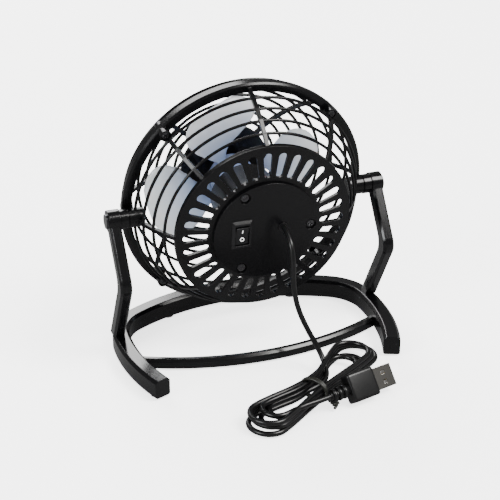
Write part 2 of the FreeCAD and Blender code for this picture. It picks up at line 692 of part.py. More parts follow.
def make_stand_hardware():
    collars, pins, screws, pads = [], [], [], []
    for side, name in ((1, "L"), (-1, "R")):
        near, far = arm_inner - collar_length, arm_inner
        low, high = (near, far) if side > 0 else (-far, -near)
        ring = cross_rod("Collar" + name, collar_radius, low, high)
        hole = cross_rod("CollarHole" + name, pin_radius, low, high)
        collars.append(cut("CollarRing" + name, ring, [hole]))
        inner = boss_outer - pin_depth
        low, high = (inner, arm_outer) if side > 0 else (-arm_outer, -inner)
        shank = cross_rod("Pin" + name, pin_radius, low, high)
        low, high = (arm_outer, arm_outer + pin_head_height) if side > 0 else \
            (-(arm_outer + pin_head_height), -arm_outer)
        head = cross_rod("PinHead" + name, pin_head_radius, low, high)
        pins.append(fuse("PivotPin" + name, [shank, head]))
        middle = (arm_inner + arm_thick / 2) * side
        back = pivot_y + arm_foot_back
        shank = rod("ArmScrew" + name, arm_screw_radius, pad_height, bar_top + arm_screw_depth, middle, back)
        screws.append(shank)
    for item, node in ((group("Collars", collars), "friction_collars"), (group("Pins", pins), "pivot_pins")):
        place(item, 0.0, pivot_y, pivot_height)
        subpart(item, node)
    subpart(group("ArmScrews", screws), "arm_screws")
    front, side_bow, corner = corner_middle()
    foot_lead = pad_radius * 1.6
    for side in (1, -1):
        back = foot_reach - foot_lead
        bow = root(side_radius * side_radius - (back - widest_offset) * (back - widest_offset))
        across = (side_reach - side_radius + bow) * side
        pads.append(rod("RearPad%d" % (side + 1), pad_radius, 0.0, pad_height, across, pivot_y + back))
        across = front_reach * side
        sag = front_radius - root(front_radius * front_radius - front_reach * front_reach)
        pads.append(rod("FrontPad%d" % (side + 1), pad_radius, 0.0, pad_height, across,
                        pivot_y - front_reach + sag))
    subpart(group("Pads", pads), "foot_pads")


# ---------------------------------------------------------------- rear cage
def cage_station(share):
    """Place on the bowed rib: share 0 at the ring, 1 at the rear plate."""
    start_z, end_z = ring_rear - ring_wall / 2, plate_rim_rear - plate_rim_depth / 2
    end_r = plate_radius - rib_depth / 2
    run_r, run_z = end_r - cage_start, end_z - start_z
    length = root(run_r * run_r + run_z * run_z)
    bow = cage_bulge * (4 * share * (1 - share))
    return (cage_start + run_r * share + run_z / length * bow,
            start_z + run_z * share - run_r / length * bow)


def make_rear_cage():
    body = begin("RearCage")
    ring = sketch_on(body, "XZ_Plane", "RingSection")
    wall_inner = ring_radius - ring_wall
    polygon(ring, [(flange_inner, ring_rear - ring_wall), (wall_inner, ring_rear - ring_wall),
                   (wall_inner, ring_joint), (ring_radius, ring_joint),
                   (ring_radius, ring_rear - ring_bevel), (ring_radius - ring_bevel, ring_rear),
                   (flange_inner, ring_rear)])
    revolve(body, "Ring", ring)
    steps = int(hoop_count.value) + 1
    stations = []
    for i in range(steps + 1):
        r, z = cage_station(i / steps)
        stations.append((keep("cage_r%d" % i, r), keep("cage_z%d" % i, z)))
    rib = sketch_on(body, "XZ_Plane", "RibSection")
    half = rib_depth / 2
    polygon(rib, [(r - half, z) for r, z in stations] + [(r + half, z) for r, z in reversed(stations)])
    first = pad(body, "Rib", rib, rib_width, middle=True)
    polar(body, "Ribs", [first], rib_count)
    plate = sketch_on(body, "XZ_Plane", "PlateSection")
    inside = plate_radius - plate_wall
    polygon(plate, [(plate_radius, plate_rim_rear - plate_rim_depth), (plate_radius, plate_rim_rear),
                    (seat_outer, seat_rear), (seat_inner, seat_rear), (seat_inner, seat_front),
                    (seat_outer, seat_front), (inside, plate_rim_rear - plate_wall),
                    (inside, plate_rim_rear - plate_rim_depth)])
    revolve(body, "Plate", plate)
    hoops = sketch_on(body, "XZ_Plane", "HoopSections")
    for r, z in stations[1:-1]:
        circle(hoops, r, z, hoop_radius)
    revolve(body, "Hoops", hoops)
    slot = sketch_on(body, "XY_Plane", "SlotOutline")
    tapered_slot(slot, slot_inner, slot_outer, slot_inner_round, slot_outer_round)
    first = pocket(body, "Slot", slot)
    polar(body, "Slots", [first], slot_count)
    boss = sketch_on(body, "YZ_Plane", "BossOutline", boss_inner)
    circle(boss, 0.0, 0.0, boss_radius)
    first = pad(body, "Boss", boss, boss_outer - boss_inner)
    mirrored(body, "Bosses", [first], "YZ_Plane")
    bore = sketch_on(body, "YZ_Plane", "BoreOutline", boss_outer)
    circle(bore, 0.0, 0.0, pin_radius + running_fit)
    first = pocket(body, "Bore", bore, pin_depth + side_gap)
    mirrored(body, "Bores", [first], "YZ_Plane")
    lug_x, lug_y = around(lug_circle, 45)
    lug = sketch_on(body, "XY_Plane", "LugOutline", ring_rear)
    circle(lug, lug_x, lug_y, lug_radius)
    first = pad(body, "Lug", lug, lug_rear - ring_rear)
    polar(body, "Lugs", [first], plain(4))
    sink = sketch_on(body, "XY_Plane", "LugSink", lug_rear)
    circle(sink, lug_x, lug_y, screw_head_radius + screw_gap)
    first = pocket(body, "Sink", sink, screw_head_height)
    hole = sketch_on(body, "XY_Plane", "LugHole")
    circle(hole, lug_x, lug_y, screw_radius + screw_gap)
    second = pocket(body, "LugBore", hole)
    polar(body, "LugHoles", [first, second], plain(4))
    bolts = sketch_on(body, "XY_Plane", "SeatHole")
    circle(bolts, -cover_screw_circle, 0.0, screw_radius + screw_gap)
    first = pocket(body, "SeatBore", bolts)
    polar(body, "SeatBores", [first], plain(3))
    return on_head(body, "rear_cage")


def screw(name, x, y, head_rear, tip):
    """Screw seen from behind: head towards +Z, shank forwards."""
    head = rod(name + "Head", screw_head_radius, head_rear - screw_head_height, head_rear, x, y)
    shank = rod(name + "Shank", screw_radius, tip, head_rear - screw_head_height, x, y)
    return fuse(name, [head, shank])


def make_rear_cover():
    disc = rod("CoverDisc", cover_radius, seat_rear, cover_rear)
    tools, screws = [], []
    for i, degrees in enumerate((180, 60, -60)):
        x, y = around(cover_screw_circle, degrees)
        tools.append(rod("CoverRecess%d" % i, recess_radius, cover_rear - recess_depth, cover_rear, x, y))
        tools.append(rod("CoverHole%d" % i, screw_radius + screw_gap, seat_rear, cover_rear, x, y))
        screws.append(screw("CoverScrew%d" % i, x, y, cover_rear - recess_depth + screw_head_height,
                            seat_front - housing_wall))
    tools.append(block("SwitchWindow", switch_width + screw_gap, switch_height + screw_gap, cover_thick,
                       switch_right, 0.0, seat_rear))
    tools.append(rod("CordWindow", grommet_radius, seat_rear, cover_rear, cord_right, -cord_up))
    on_head(cut("RearCover", disc, tools), "rear_cover")
    on_head(group("CoverScrews", screws), "cover_screws")


# ---------------------------------------------------------------- front grille
def dome_height(radius):
    return dome_centre - root(dome_radius * dome_radius - (radius - dome_flat) * (radius - dome_flat))


def make_front_grille():
    body = begin("FrontGrille")
    rim = sketch_on(body, "XZ_Plane", "RimSection")
    outside = ring_radius - rim_step
    polygon(rim, [(ring_radius - ring_wall, rim_front), (outside - ring_bevel, rim_front),
                  (outside, rim_front + ring_bevel), (outside, ring_joint), (ring_radius - ring_wall, ring_joint)])
    revolve(body, "Rim", rim)
    count = int(grille_rings.value)
    rim_middle = ring_radius - ring_wall / 2
    radii = [cap_radius] + [rim_middle - grille_pitch * (count - i) + grille_pitch / 2 for i in range(count)] \
        + [rim_middle]
    stations = []
    for i, r in enumerate(radii):
        stations.append((keep("grille_r%d" % i, r), keep("grille_z%d" % i, dome_height(r))))
    spoke = sketch_on(body, "XZ_Plane", "SpokeSection")
    half = rib_depth / 2
    reach = [(cap_radius - half, dome_height(cap_radius))] + stations[1:]
    polygon(spoke, [(r, z + half) for r, z in reach] + [(r, z - half) for r, z in reversed(reach)])
    first = pad(body, "Spoke", spoke, rib_width, middle=True)
    polar(body, "Spokes", [first], rib_count)
    rings = sketch_on(body, "XZ_Plane", "GrilleRings")
    for r, z in stations[1:-1]:
        circle(rings, r, z, grille_ring_radius)
    revolve(body, "Rings", rings)
    cap = sketch_on(body, "XZ_Plane", "CapSection")
    rectangle(cap, 0.0, cap_radius, rim_front - dome_depth - cap_thick / 2, rim_front - dome_depth + cap_thick / 2)
    revolve(body, "Cap", cap)
    lug_x, lug_y = around(lug_circle, 45)
    lug = sketch_on(body, "XY_Plane", "FrontLug", ring_joint)
    circle(lug, lug_x, lug_y, lug_radius)
    first = pad(body, "GrilleLug", lug, ring_joint - rim_front, back=True)
    polar(body, "GrilleLugs", [first], plain(4))
    pilot = sketch_on(body, "XY_Plane", "FrontPilot", ring_joint)
    circle(pilot, lug_x, lug_y, screw_radius)
    first = pocket(body, "GrillePilot", pilot, (ring_joint - rim_front) * 0.8)
    polar(body, "GrillePilots", [first], plain(4))
    on_head(body, "front_grille")
    front = rim_front - dome_depth - cap_thick / 2
    on_head(group("Badge", [rod("BadgeDisc", badge_radius, front - badge_thick, front)]), "grille_badge")
    screws = []
    for i in range(4):
        x, y = around(lug_circle, 45 + 90 * i)
        screws.append(screw("GrilleScrew%d" % i, x, y, lug_rear, ring_joint - (ring_joint - rim_front) * 0.8))
    on_head(group("GrilleScrews", screws), "grille_screws")


# ---------------------------------------------------------------- motor
def make_motor_housing():
    flange_front = seat_front - housing_wall
    body = [rod("HousingFlange", housing_flange, flange_front, seat_front),
            rod("Chamber", chamber_radius, chamber_front, seat_front),
            rod("HousingTube", housing_radius, housing_front, seat_front)]
    hollow = [rod("ChamberHollow", chamber_radius - housing_wall, chamber_front + housing_wall, seat_front),
              rod("HousingHollow", housing_radius - housing_wall, housing_front + housing_wall, seat_front),
              rod("HousingNose", bush_radius + screw_gap, housing_front, housing_front + housing_wall)]
    for side in (1, -1):
        hollow.append(rod("MountHole%d" % (side + 1), screw_radius, housing_front,
                          housing_front + housing_wall, mount_screw_offset * side, 0.0))
    for i, degrees in enumerate((180, 60, -60)):
        x, y = around(cover_screw_circle, degrees)
        hollow.append(rod("FlangeHole%d" % i, screw_radius, flange_front, seat_front, x, y))
    on_head(cut("MotorHousing", fuse("HousingBody", body), hollow), "motor_housing")


def make_motor():
    back = motor_rear
    inside = motor_radius - can_wall
    can = rod("Can", motor_radius, motor_front, back)
    hollow = rod("CanHollow", inside, motor_front + can_wall, back)
    nose = rod("CanNose", bush_radius, motor_front, motor_front + can_wall)
    holes = [rod("CanMount%d" % (side + 1), screw_radius, motor_front, motor_front + can_wall,
                 mount_screw_offset * side, 0.0) for side in (1, -1)]
    on_head(cut("MotorCan", can, [hollow, nose] + holes), "motor_can")
    plug = rod("EndPlug", inside, back - end_cap_thick, back)
    lip = rod("EndLip", motor_radius, back, back + can_wall)
    seat = rod("EndSeat", bush_radius, back - end_cap_thick, back + can_wall)
    on_head(cut("EndCap", fuse("EndBody", [plug, lip]), [seat]), "motor_end_cap")
    hole = rod("BushHoleF", shaft_radius + running_fit, motor_front - can_wall,
               motor_front - can_wall + bush_length)
    bush = rod("BushF", bush_radius, motor_front - can_wall, motor_front - can_wall + bush_length)
    on_head(cut("FrontBush", bush, [hole]), "front_bush")
    rear_end = back + can_wall
    hole = rod("BushHoleR", shaft_radius + running_fit, back - end_cap_thick, rear_end)
    bush = rod("BushR", bush_radius, back - end_cap_thick, rear_end)
    on_head(cut("RearBush", bush, [hole]), "rear_bush")
    core_start = motor_front + can_wall + bush_length
    magnets = []
    for side in (1, -1):
        ring = rod("Magnet%d" % (side + 1), inside, core_start, core_start + core_length)
        bore = rod("MagnetBore%d" % (side + 1), inside - magnet_thick, core_start, core_start + core_length)
        keeper = block("MagnetKeep%d" % (side + 1), inside, inside * 2, core_length,
                       (inside / 2 + magnet_thick) * side, 0.0, core_start)
        arc = doc.addObject("Part::Common", "MagnetArc%d" % (side + 1))
        arc.Base, arc.Tool = cut("MagnetRing%d" % (side + 1), ring, [bore]), keeper
        magnets.append(arc)
    on_head(group("Magnets", magnets), "motor_magnets")
    make_rotor(core_start, inside - magnet_thick - air_gap)
    screws = []
    for side in (1, -1):
        x = mount_screw_offset * side
        head = rod("MountHead%d" % (side + 1), screw_head_radius, housing_front - screw_head_height,
                   housing_front, x, 0.0)
        shank = rod("MountShank%d" % (side + 1), screw_radius, housing_front, motor_front + can_wall, x, 0.0)
        screws.append(fuse("MountScrew%d" % (side + 1), [head, shank]))
    on_head(group("MountScrews", screws), "motor_screws")


def make_rotor(core_start, core_radius):
    """Shaft, three-pole core, its windings, and the commutator under two brushes."""
    back = motor_rear + can_wall
    on_head(group("Shaft", [rod("ShaftRod", shaft_radius, shaft_front, back + can_wall)]), "motor_shaft")
    core_end = core_start + core_length
    disc = rod("CoreDisc", core_radius, core_start, core_end)
    tools = [rod("CoreBore", shaft_radius, core_start, core_end)]
    coils = []
    slot_floor = shaft_radius + core_web
    for i in range(3):
        turn = 30 + 120 * i
        slit = block("CoreSlot%d" % i, core_radius, core_slot, core_length,
                     slot_floor + core_radius / 2, 0.0, 0.0)
        gap = group("CoreGap%d" % i, [slit])
        place(gap, 0.0, 0.0, core_start, Vector(0, 0, 1), turn)
        tools.append(gap)
        coil = block("CoilBlock%d" % i, core_radius * 0.3, core_slot * 0.8, core_length * 0.96,
                     slot_floor + core_radius * 0.15, 0.0, core_length * 0.02)
        turned = group("Coil%d" % i, [coil])
        place(turned, 0.0, 0.0, core_start, Vector(0, 0, 1), turn)
        coils.append(turned)
    on_head(cut("Core", disc, tools), "armature_core")
    on_head(group("Windings", coils), "armature_windings")
    start = core_end + air_gap
    ring = rod("CommRing", commutator_radius, start, start + commutator_length)
    bore = rod("CommBore", shaft_radius, start, start + commutator_length)
    on_head(cut("Commutator", ring, [bore]), "commutator")
    inside = motor_radius - can_wall
    brushes = []
    for side in (1, -1):
        reach = inside - commutator_radius - running_fit * 3
        middle = (commutator_radius + running_fit + reach / 2) * side
        brushes.append(block("Brush%d" % (side + 1), reach, core_slot, core_slot, middle, 0.0,
                             start + commutator_length / 4))
    on_head(group("Brushes", brushes), "motor_brushes")


# ---------------------------------------------------------------- impeller
def make_impeller():
    """Hub with a socket for the shaft, and blades cut from a sloping slab."""
    shell = rod("HubShell", hub_radius, hub_front, hub_rear)
    hollow = rod("HubHollow", hub_radius - hub_wall, hub_front + hub_wall, hub_rear)
    cup = cut("HubCup", shell, [hollow])
    socket = rod("HubSocket", hub_core, hub_front, hub_rear)
    blades = []
    long = blade_radius * 2
    for i in range(int(blade_count.value)):
        name = "Blade%d" % i
        slab = block(name + "Slab", blade_radius, long, blade_thick, blade_radius / 2, 0.0, -(blade_thick / 2))
        leaning = group(name + "Lean", [slab])
        place(leaning, 0.0, 0.0, 0.0, Vector(1, 0, 0), blade_pitch)
        wedge = doc.addObject("Part::Cylinder", name + "Wedge")
        wedge.Radius, wedge.Height, wedge.Angle = blade_radius.value, long.value, blade_spread.value
        tie(wedge, {"Radius": blade_radius, "Height": long, "Angle": blade_spread})
        place(wedge, 0.0, 0.0, -(long / 2), Vector(0, 0, 1), -(blade_spread / 2))
        petal = doc.addObject("Part::Common", name)
        petal.Base, petal.Tool = leaning, wedge
        turned = group(name + "Turned", [petal])
        place(turned, 0.0, 0.0, blade_middle, Vector(0, 0, 1), -(blade_turn + 360 / blade_count.value * i))
        blades.append(turned)
    outer = cut("BladesRing", fuse("BladeSet", blades), [rod("HubRoom", hub_radius - hub_wall / 2, hub_front * 2, 0.0)])
    whole = fuse("HubAndBlades", [cup, socket, outer])
    on_head(cut("Impeller", whole, [rod("HubBore", shaft_radius, shaft_front, hub_rear)]), "impeller")


# ---------------------------------------------------------------- switch
def make_switch():
    room_w, room_h = rocker_width + rocker_gap * 2, rocker_height + rocker_gap * 4
    bezel = begin("Bezel")
    low = sketch_on(bezel, "XY_Plane", "BezelFoot", cover_rear)
    rectangle(low, -(bezel_width / 2), bezel_width / 2, -(bezel_height / 2), bezel_height / 2)
    plate = pad(bezel, "BezelPad", low, bezel_proud)
    doc.recompute()
    top = ["Edge%d" % (i + 1) for i, line in enumerate(plate.Shape.Edges)
           if all(abs(v.Point.z - (cover_rear + bezel_proud).value) < 1e-6 for v in line.Vertexes)]
    bevel = bezel.newObject("PartDesign::Chamfer", "BezelBevel")
    bevel.Base = (plate, top)
    bevel.Size = bezel_bevel.value
    bevel.setExpression("Size", bezel_bevel.text)
    bezel.Tip = bevel
    hull = sketch_on(bezel, "XY_Plane", "SwitchHull", cover_rear)
    rectangle(hull, -(switch_width / 2), switch_width / 2, -(switch_height / 2), switch_height / 2)
    pad(bezel, "SwitchBox", hull, switch_depth, back=True)
    window = sketch_on(bezel, "XY_Plane", "SwitchRoom", cover_rear + bezel_proud)
    rectangle(window, -(room_w / 2), room_w / 2, -(room_h / 2), room_h / 2)
    pocket(bezel, "SwitchCavity", window, bezel_proud + rocker_depth + rocker_gap * 3)
    reach = rocker_width / 2 + rocker_gap + axle_grip
    bearing = cross_rod("AxleBearing", axle_radius + running_fit, -reach, reach, 0.0, cover_rear)
    hollowed = cut("SwitchHousing", bezel, [bearing])
    place(hollowed, switch_right, 0.0, 0.0)
    on_head(group("SwitchSet", [hollowed]), "switch_body")
    rocker = begin("Rocker")
    face = sketch_on(rocker, "YZ_Plane", "RockerSide")
    half, foot = rocker_height / 2, rocker_height * 0.36
    polygon(face, [(-half, bezel_proud), (0.0, bezel_proud - rocker_dish), (half, bezel_proud),
                   (half, 0.0), (foot, bezel_proud - rocker_depth), (-foot, bezel_proud - rocker_depth),
                   (-half, 0.0)])
    pad(rocker, "RockerPad", face, rocker_width, middle=True)
    whole = fuse("RockerWhole", [rocker, cross_rod("Axle", axle_radius, -reach, reach)])
    place(whole, switch_right, 0.0, cover_rear, Vector(1, 0, 0), rocker_turn)
    on_head(group("RockerSet", [whole]), "switch_rocker")
    floor = cover_rear - switch_depth
    tabs = [block("Tab%d" % i, core_slot, can_wall, terminal_length, switch_right, shift, floor - terminal_length)
            for i, shift in enumerate((-(switch_height / 3), plain(0.0), switch_height / 3))]
    on_head(group("Terminals", tabs), "switch_terminals")


# ---------------------------------------------------------------- cord and what is on it
def rounded_route(points, label):
    """Straight runs joined by tangent arcs as large as the shorter run allows."""
    edges, radii, last = [], [], points[0]
    for before, here, after in zip(points, points[1:], points[2:]):
        back, ahead = before - here, after - here
        turn = math.pi - back.getAngle(ahead)
        trim = 0.45 * min(back.Length, ahead.Length)
        radii.append(trim / math.tan(turn / 2))
        enter = here + Vector(back).normalize() * trim
        leave = here + Vector(ahead).normalize() * trim
        inward = (Vector(back).normalize() + Vector(ahead).normalize()).normalize()
        middle = here + inward * (radii[-1] / math.cos(turn / 2) - radii[-1])
        edges.append(Part.LineSegment(last, enter).toShape())
        edges.append(Part.Arc(enter, middle, leave).toShape())
        last = leave
    edges.append(Part.LineSegment(last, points[-1]).toShape())
    print(label, "bend radii", [round(radius, 1) for radius in radii])
    return Part.Wire(edges)


def tube(name, points, radius):
    route = rounded_route(points, name)
    ring = Part.Wire([Part.Circle(points[0], points[1] - points[0], radius.value).toShape()])
    shape = route.makePipeShell([ring], True, True)
    expected = math.pi * radius.value ** 2 * route.Length
    print(name, "length", round(route.Length, 1), "volume share", round(shape.Volume / expected, 4))
    item = doc.addObject("Part::Feature", name)
    item.Shape = shape
    return item


def head_point(x, y, z):
    spin = FreeCAD.Rotation(Vector(1, 0, 0), head_turn.value)
    return Vector(0, pivot_y.value, pivot_height.value) + spin.multVec(Vector(x, y, z))


def make_cord():
    ring = rod("GrommetRing", grommet_radius, seat_rear, cover_rear + grommet_proud, cord_right, -cord_up)
    on_head(group("Grommet", [ring]), "cord_grommet")
    clamp = block("ClampBlock", grommet_radius * 2, grommet_radius * 2, clamp_length, cord_right, -cord_up,
                  seat_rear - clamp_length)
    on_head(group("Clamp", [clamp]), "cord_clamp")
    rear = (cover_rear + grommet_proud).value
    start = head_point(cord_right.value, -cord_up.value, rear)
    straight = head_point(cord_right.value, -cord_up.value, rear + 11)
    route = [start, straight] + [Vector(*point) for point in cord_points]
    subpart(tube("CordDrop", route, cord_radius), "cord_drop")


# Route of the hanging stretch, from behind the cover down to the tied bundle.
cord_points = [(-9.3, 41.4, 66.8), (-9.1, 42.2, 55.5), (-10.2, 42.4, 45.0), (-13.0, 42.7, 34.5),
               (-17.6, 43.9, 23.6), (-22.4, 47.2, 13.6), (-24.2, 53.4, 6.4), (-22.4, 61.0, 3.9), (-17.5, 67.0, 3.4)]


# Middle of the tie, and each lobe's far end with its rounding.
hank_tie = (-9.0, 75.0)
hank_lobes = [(22.5, 91.5, 12.5), (-46.0, 44.5, 13.0)]


def make_hank():
    """Outer shape of the tied bundle, two flat lobes, and the twist tie round its waist."""
    lobes = []
    for i, (far_x, far_y, far_round) in enumerate(hank_lobes):
        run = Vector(far_x - hank_tie[0], far_y - hank_tie[1], 0)
        body = begin("Lobe%d" % i)
        outline = sketch_on(body, "XY_Plane", "LobeOutline%d" % i)
        tapered_slot(outline, -bundle_half, plain(run.Length + far_round), bundle_half, plain(far_round))
        pad(body, "LobePad%d" % i, outline, hank_height)
        turn = math.degrees(math.atan2(run.y, run.x))
        place(body, hank_tie[0], hank_tie[1], tie_thick, Vector(0, 0, 1), turn)
        lobes.append(body)
    hank = subpart(fuse("Hank", lobes), "cord_hank")
    wrap = block("TieWrap", tie_width, (bundle_half + tie_thick) * 2, hank_height + tie_thick * 2, 0.0, 0.0, 0.0)
    ends = doc.addObject("Part::Cylinder", "TieEnds")
    ends.Radius, ends.Height = tie_width.value / 2, tie_tail.value
    tie(ends, {"Radius": tie_width / 2, "Height": tie_tail})
    place(ends, 0.0, bundle_half, tie_width / 2, Vector(1, 0, 0), -90)
    around_bundle = fuse("TieSet", [wrap, ends])
    place(around_bundle, hank_tie[0], hank_tie[1], 0.0, Vector(0, 0, 1), tie_turn)
    subpart(cut("TwistTie", around_bundle, [hank]), "twist_tie")
    subpart(tube("CordTail", [plug_point(-relief_length.value), plug_point(-relief_length.value - 7)]
                 + [Vector(*point) for point in tail_points], cord_radius), "cord_tail")


# The last stretch, from the plug's strain relief back into the bundle.
tail_points = [(2.0, 87.0, 6.4), (8.0, 82.5, 5.8)]


def plug_point(along):
    """Place on the plug's axis, measured from the grip's rear face."""
    turn = math.radians(plug_turn.value)
    return Vector(plug_x.value + along * math.cos(turn), plug_y.value + along * math.sin(turn), plug_z.value)


def on_plug(items, name, node):
    """Places a piece that was drawn along +X from the grip's rear face."""
    lean = group(name + "Roll", items)
    place(lean, 0.0, 0.0, 0.0, Vector(1, 0, 0), plug_roll)
    item = group(name, [lean])
    place(item, plug_x, plug_y, plug_z, Vector(0, 0, 1), plug_turn)
    return subpart(item, node)


def make_plug():
    grip = begin("Grip")
    face = sketch_on(grip, "YZ_Plane", "GripSection")
    half_w, half_t = plug_width / 2, plug_thick / 2
    polygon(face, [(half_w, -(half_t - plug_bevel)), (half_w, half_t - plug_bevel), (half_w - plug_bevel, half_t),
                   (-(half_w - plug_bevel), half_t), (-half_w, half_t - plug_bevel),
                   (-half_w, -(half_t - plug_bevel)), (-(half_w - plug_bevel), -half_t),
                   (half_w - plug_bevel, -half_t)])
    pad(grip, "GripPad", face, plug_length)
    on_plug([grip], "PlugGrip", "plug_body")
    start, end = plug_length, plug_length + shell_length
    sleeve = block("Sleeve", shell_length, shell_width, shell_thick, start + shell_length / 2, 0.0,
                   -(shell_thick / 2))
    room = block("SleeveRoom", shell_length, shell_width - shell_wall * 2, shell_thick - shell_wall * 2,
                 start + shell_length / 2, 0.0, -(shell_thick / 2 - shell_wall))
    windows = [block("Window%d" % side, contact_width * 2.4, contact_width * 2, shell_thick,
                     start + shell_length * 0.5, shell_width * 0.21 * side, 0.0) for side in (1, -1)]
    on_plug([cut("PlugSleeve", sleeve, [room] + windows)], "PlugShell", "plug_shell")
    low = -(shell_thick / 2 - shell_wall)
    bar = block("TongueBar", shell_length - shell_wall, shell_width - shell_wall * 2, tongue_thick,
                start + (shell_length - shell_wall) / 2, 0.0, low)
    on_plug([bar], "PlugTongue", "plug_tongue")
    pitch = (shell_width - shell_wall * 2) / 4
    strips = [block("Strip%d" % i, shell_length * 0.7, contact_width, contact_thick, start + shell_length * 0.5,
                    pitch * (i - 1.5), low + tongue_thick) for i in range(4)]
    on_plug(strips, "PlugContacts", "plug_contacts")
    relief = doc.addObject("Part::Cone", "ReliefCone")
    relief.Radius1, relief.Radius2, relief.Height = relief_root.value, relief_tip.value, relief_length.value
    tie(relief, {"Radius1": relief_root, "Radius2": relief_tip, "Height": relief_length})
    place(relief, 0.0, 0.0, 0.0, Vector(0, 1, 0), -90)
    on_plug([relief], "PlugRelief", "plug_relief")


def write_parts():
    doc.recompute()
    for item in doc.Objects:
        if {"Invalid", "Error"} & set(item.State):
            raise RuntimeError("failed object: " + item.Name + " " + str(item.State))
    os.makedirs("parts", exist_ok=True)
    for item in subparts:
        if item.Shape.isNull() or not item.Shape.isValid():
            raise RuntimeError("bad shape: " + item.Label)
        item.Shape.exportStep(os.path.join("parts", item.Label + ".step"))
        print(item.Label, len(item.Shape.Solids), round(item.Shape.Volume, 1))


base = make_base()
make_crossbar(base)
make_arm(1, "left_arm")
make_arm(-1, "right_arm")
make_stand_hardware()
make_rear_cage()
make_rear_cover()
make_front_grille()
make_motor_housing()
make_motor()
make_impeller()
make_switch()
make_cord()
make_hank()
make_plug()
write_parts()
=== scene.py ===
import json
import math
import bpy
import bmesh
from mathutils import Matrix, Vector

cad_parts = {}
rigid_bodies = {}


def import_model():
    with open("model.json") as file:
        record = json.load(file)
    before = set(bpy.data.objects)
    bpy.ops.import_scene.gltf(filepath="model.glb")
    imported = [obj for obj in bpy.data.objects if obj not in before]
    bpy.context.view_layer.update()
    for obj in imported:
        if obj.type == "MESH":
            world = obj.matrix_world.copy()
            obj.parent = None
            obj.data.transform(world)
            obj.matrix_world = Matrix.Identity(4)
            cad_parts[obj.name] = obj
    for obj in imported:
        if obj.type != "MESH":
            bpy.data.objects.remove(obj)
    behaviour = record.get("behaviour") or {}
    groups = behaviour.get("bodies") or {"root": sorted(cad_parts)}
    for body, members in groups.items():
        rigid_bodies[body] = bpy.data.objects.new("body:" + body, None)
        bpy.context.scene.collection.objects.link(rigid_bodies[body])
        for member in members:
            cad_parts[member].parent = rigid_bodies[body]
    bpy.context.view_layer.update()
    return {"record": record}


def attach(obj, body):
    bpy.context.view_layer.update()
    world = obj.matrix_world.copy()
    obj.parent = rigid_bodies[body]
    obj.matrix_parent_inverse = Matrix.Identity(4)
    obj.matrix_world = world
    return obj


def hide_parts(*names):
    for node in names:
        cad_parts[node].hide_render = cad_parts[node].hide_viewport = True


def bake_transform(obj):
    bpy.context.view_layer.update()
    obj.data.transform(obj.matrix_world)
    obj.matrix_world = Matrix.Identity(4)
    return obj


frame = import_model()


record = frame["record"]
joints = {joint["name"]: joint for joint in record["behaviour"]["joints"]}
pivot = Vector(joints["head_tilt"]["pos_m"])
fanAxis = Vector(joints["fan_spin"]["axis"])
restTilt = math.atan2(-fanAxis.z, fanAxis.y)
# Head frame: X as in the world, Y down, Z rearwards along the fan's axis, origin in the tilt pivot.
headPlace = Matrix.Translation(pivot) @ Matrix.Rotation(-(math.pi / 2 + restTilt), 4, "X")
print("stage: frame loaded")

# Camera, floor and light.
cameraLook = {
    "place": (0.2438, 0.6911, 0.4237),
    "target": (-0.00166, -0.00649, 0.05164),
    "lens": 105.76,
}


def makeCamera():
    data = bpy.data.cameras.new("camera")
    data.lens = cameraLook["lens"]
    data.sensor_width = 36
    data.dof.use_dof = False
    camera = bpy.data.objects.new("camera", data)
    bpy.context.collection.objects.link(camera)
    camera.location = cameraLook["place"]
    look = Vector(cameraLook["target"]) - camera.location
    camera.rotation_euler = look.to_track_quat("-Z", "Y").to_euler()
    bpy.context.scene.camera = camera


stageLook = {
    "floorSize": 30.0,
    "floorRoughness": 0.75,
    "lightAim": (0, 0, 0.06),
    "floorColor": (0.95, 0.95, 0.95, 1),
    "floorReflected": (0.06, 0.06, 0.06, 1),
    "floorGlow": 2.6,
    "worldColor": (1.0, 1.0, 1.0, 1),
    "worldStrength": 0.9,
    "reflectedStrength": 0.22,
}
# name: place, size, watts, colour
lights = {
    "keyLight": ((-0.9, 0.7, 1.6), 0.9, 60, (1.0, 0.99, 0.97)),
    "sideLight": ((1.5, 0.5, 0.8), 0.6, 20, (0.97, 0.99, 1.0)),
    "frontLight": ((0.1, -1.4, 1.0), 1.0, 36, (1.0, 1.0, 1.0)),
}


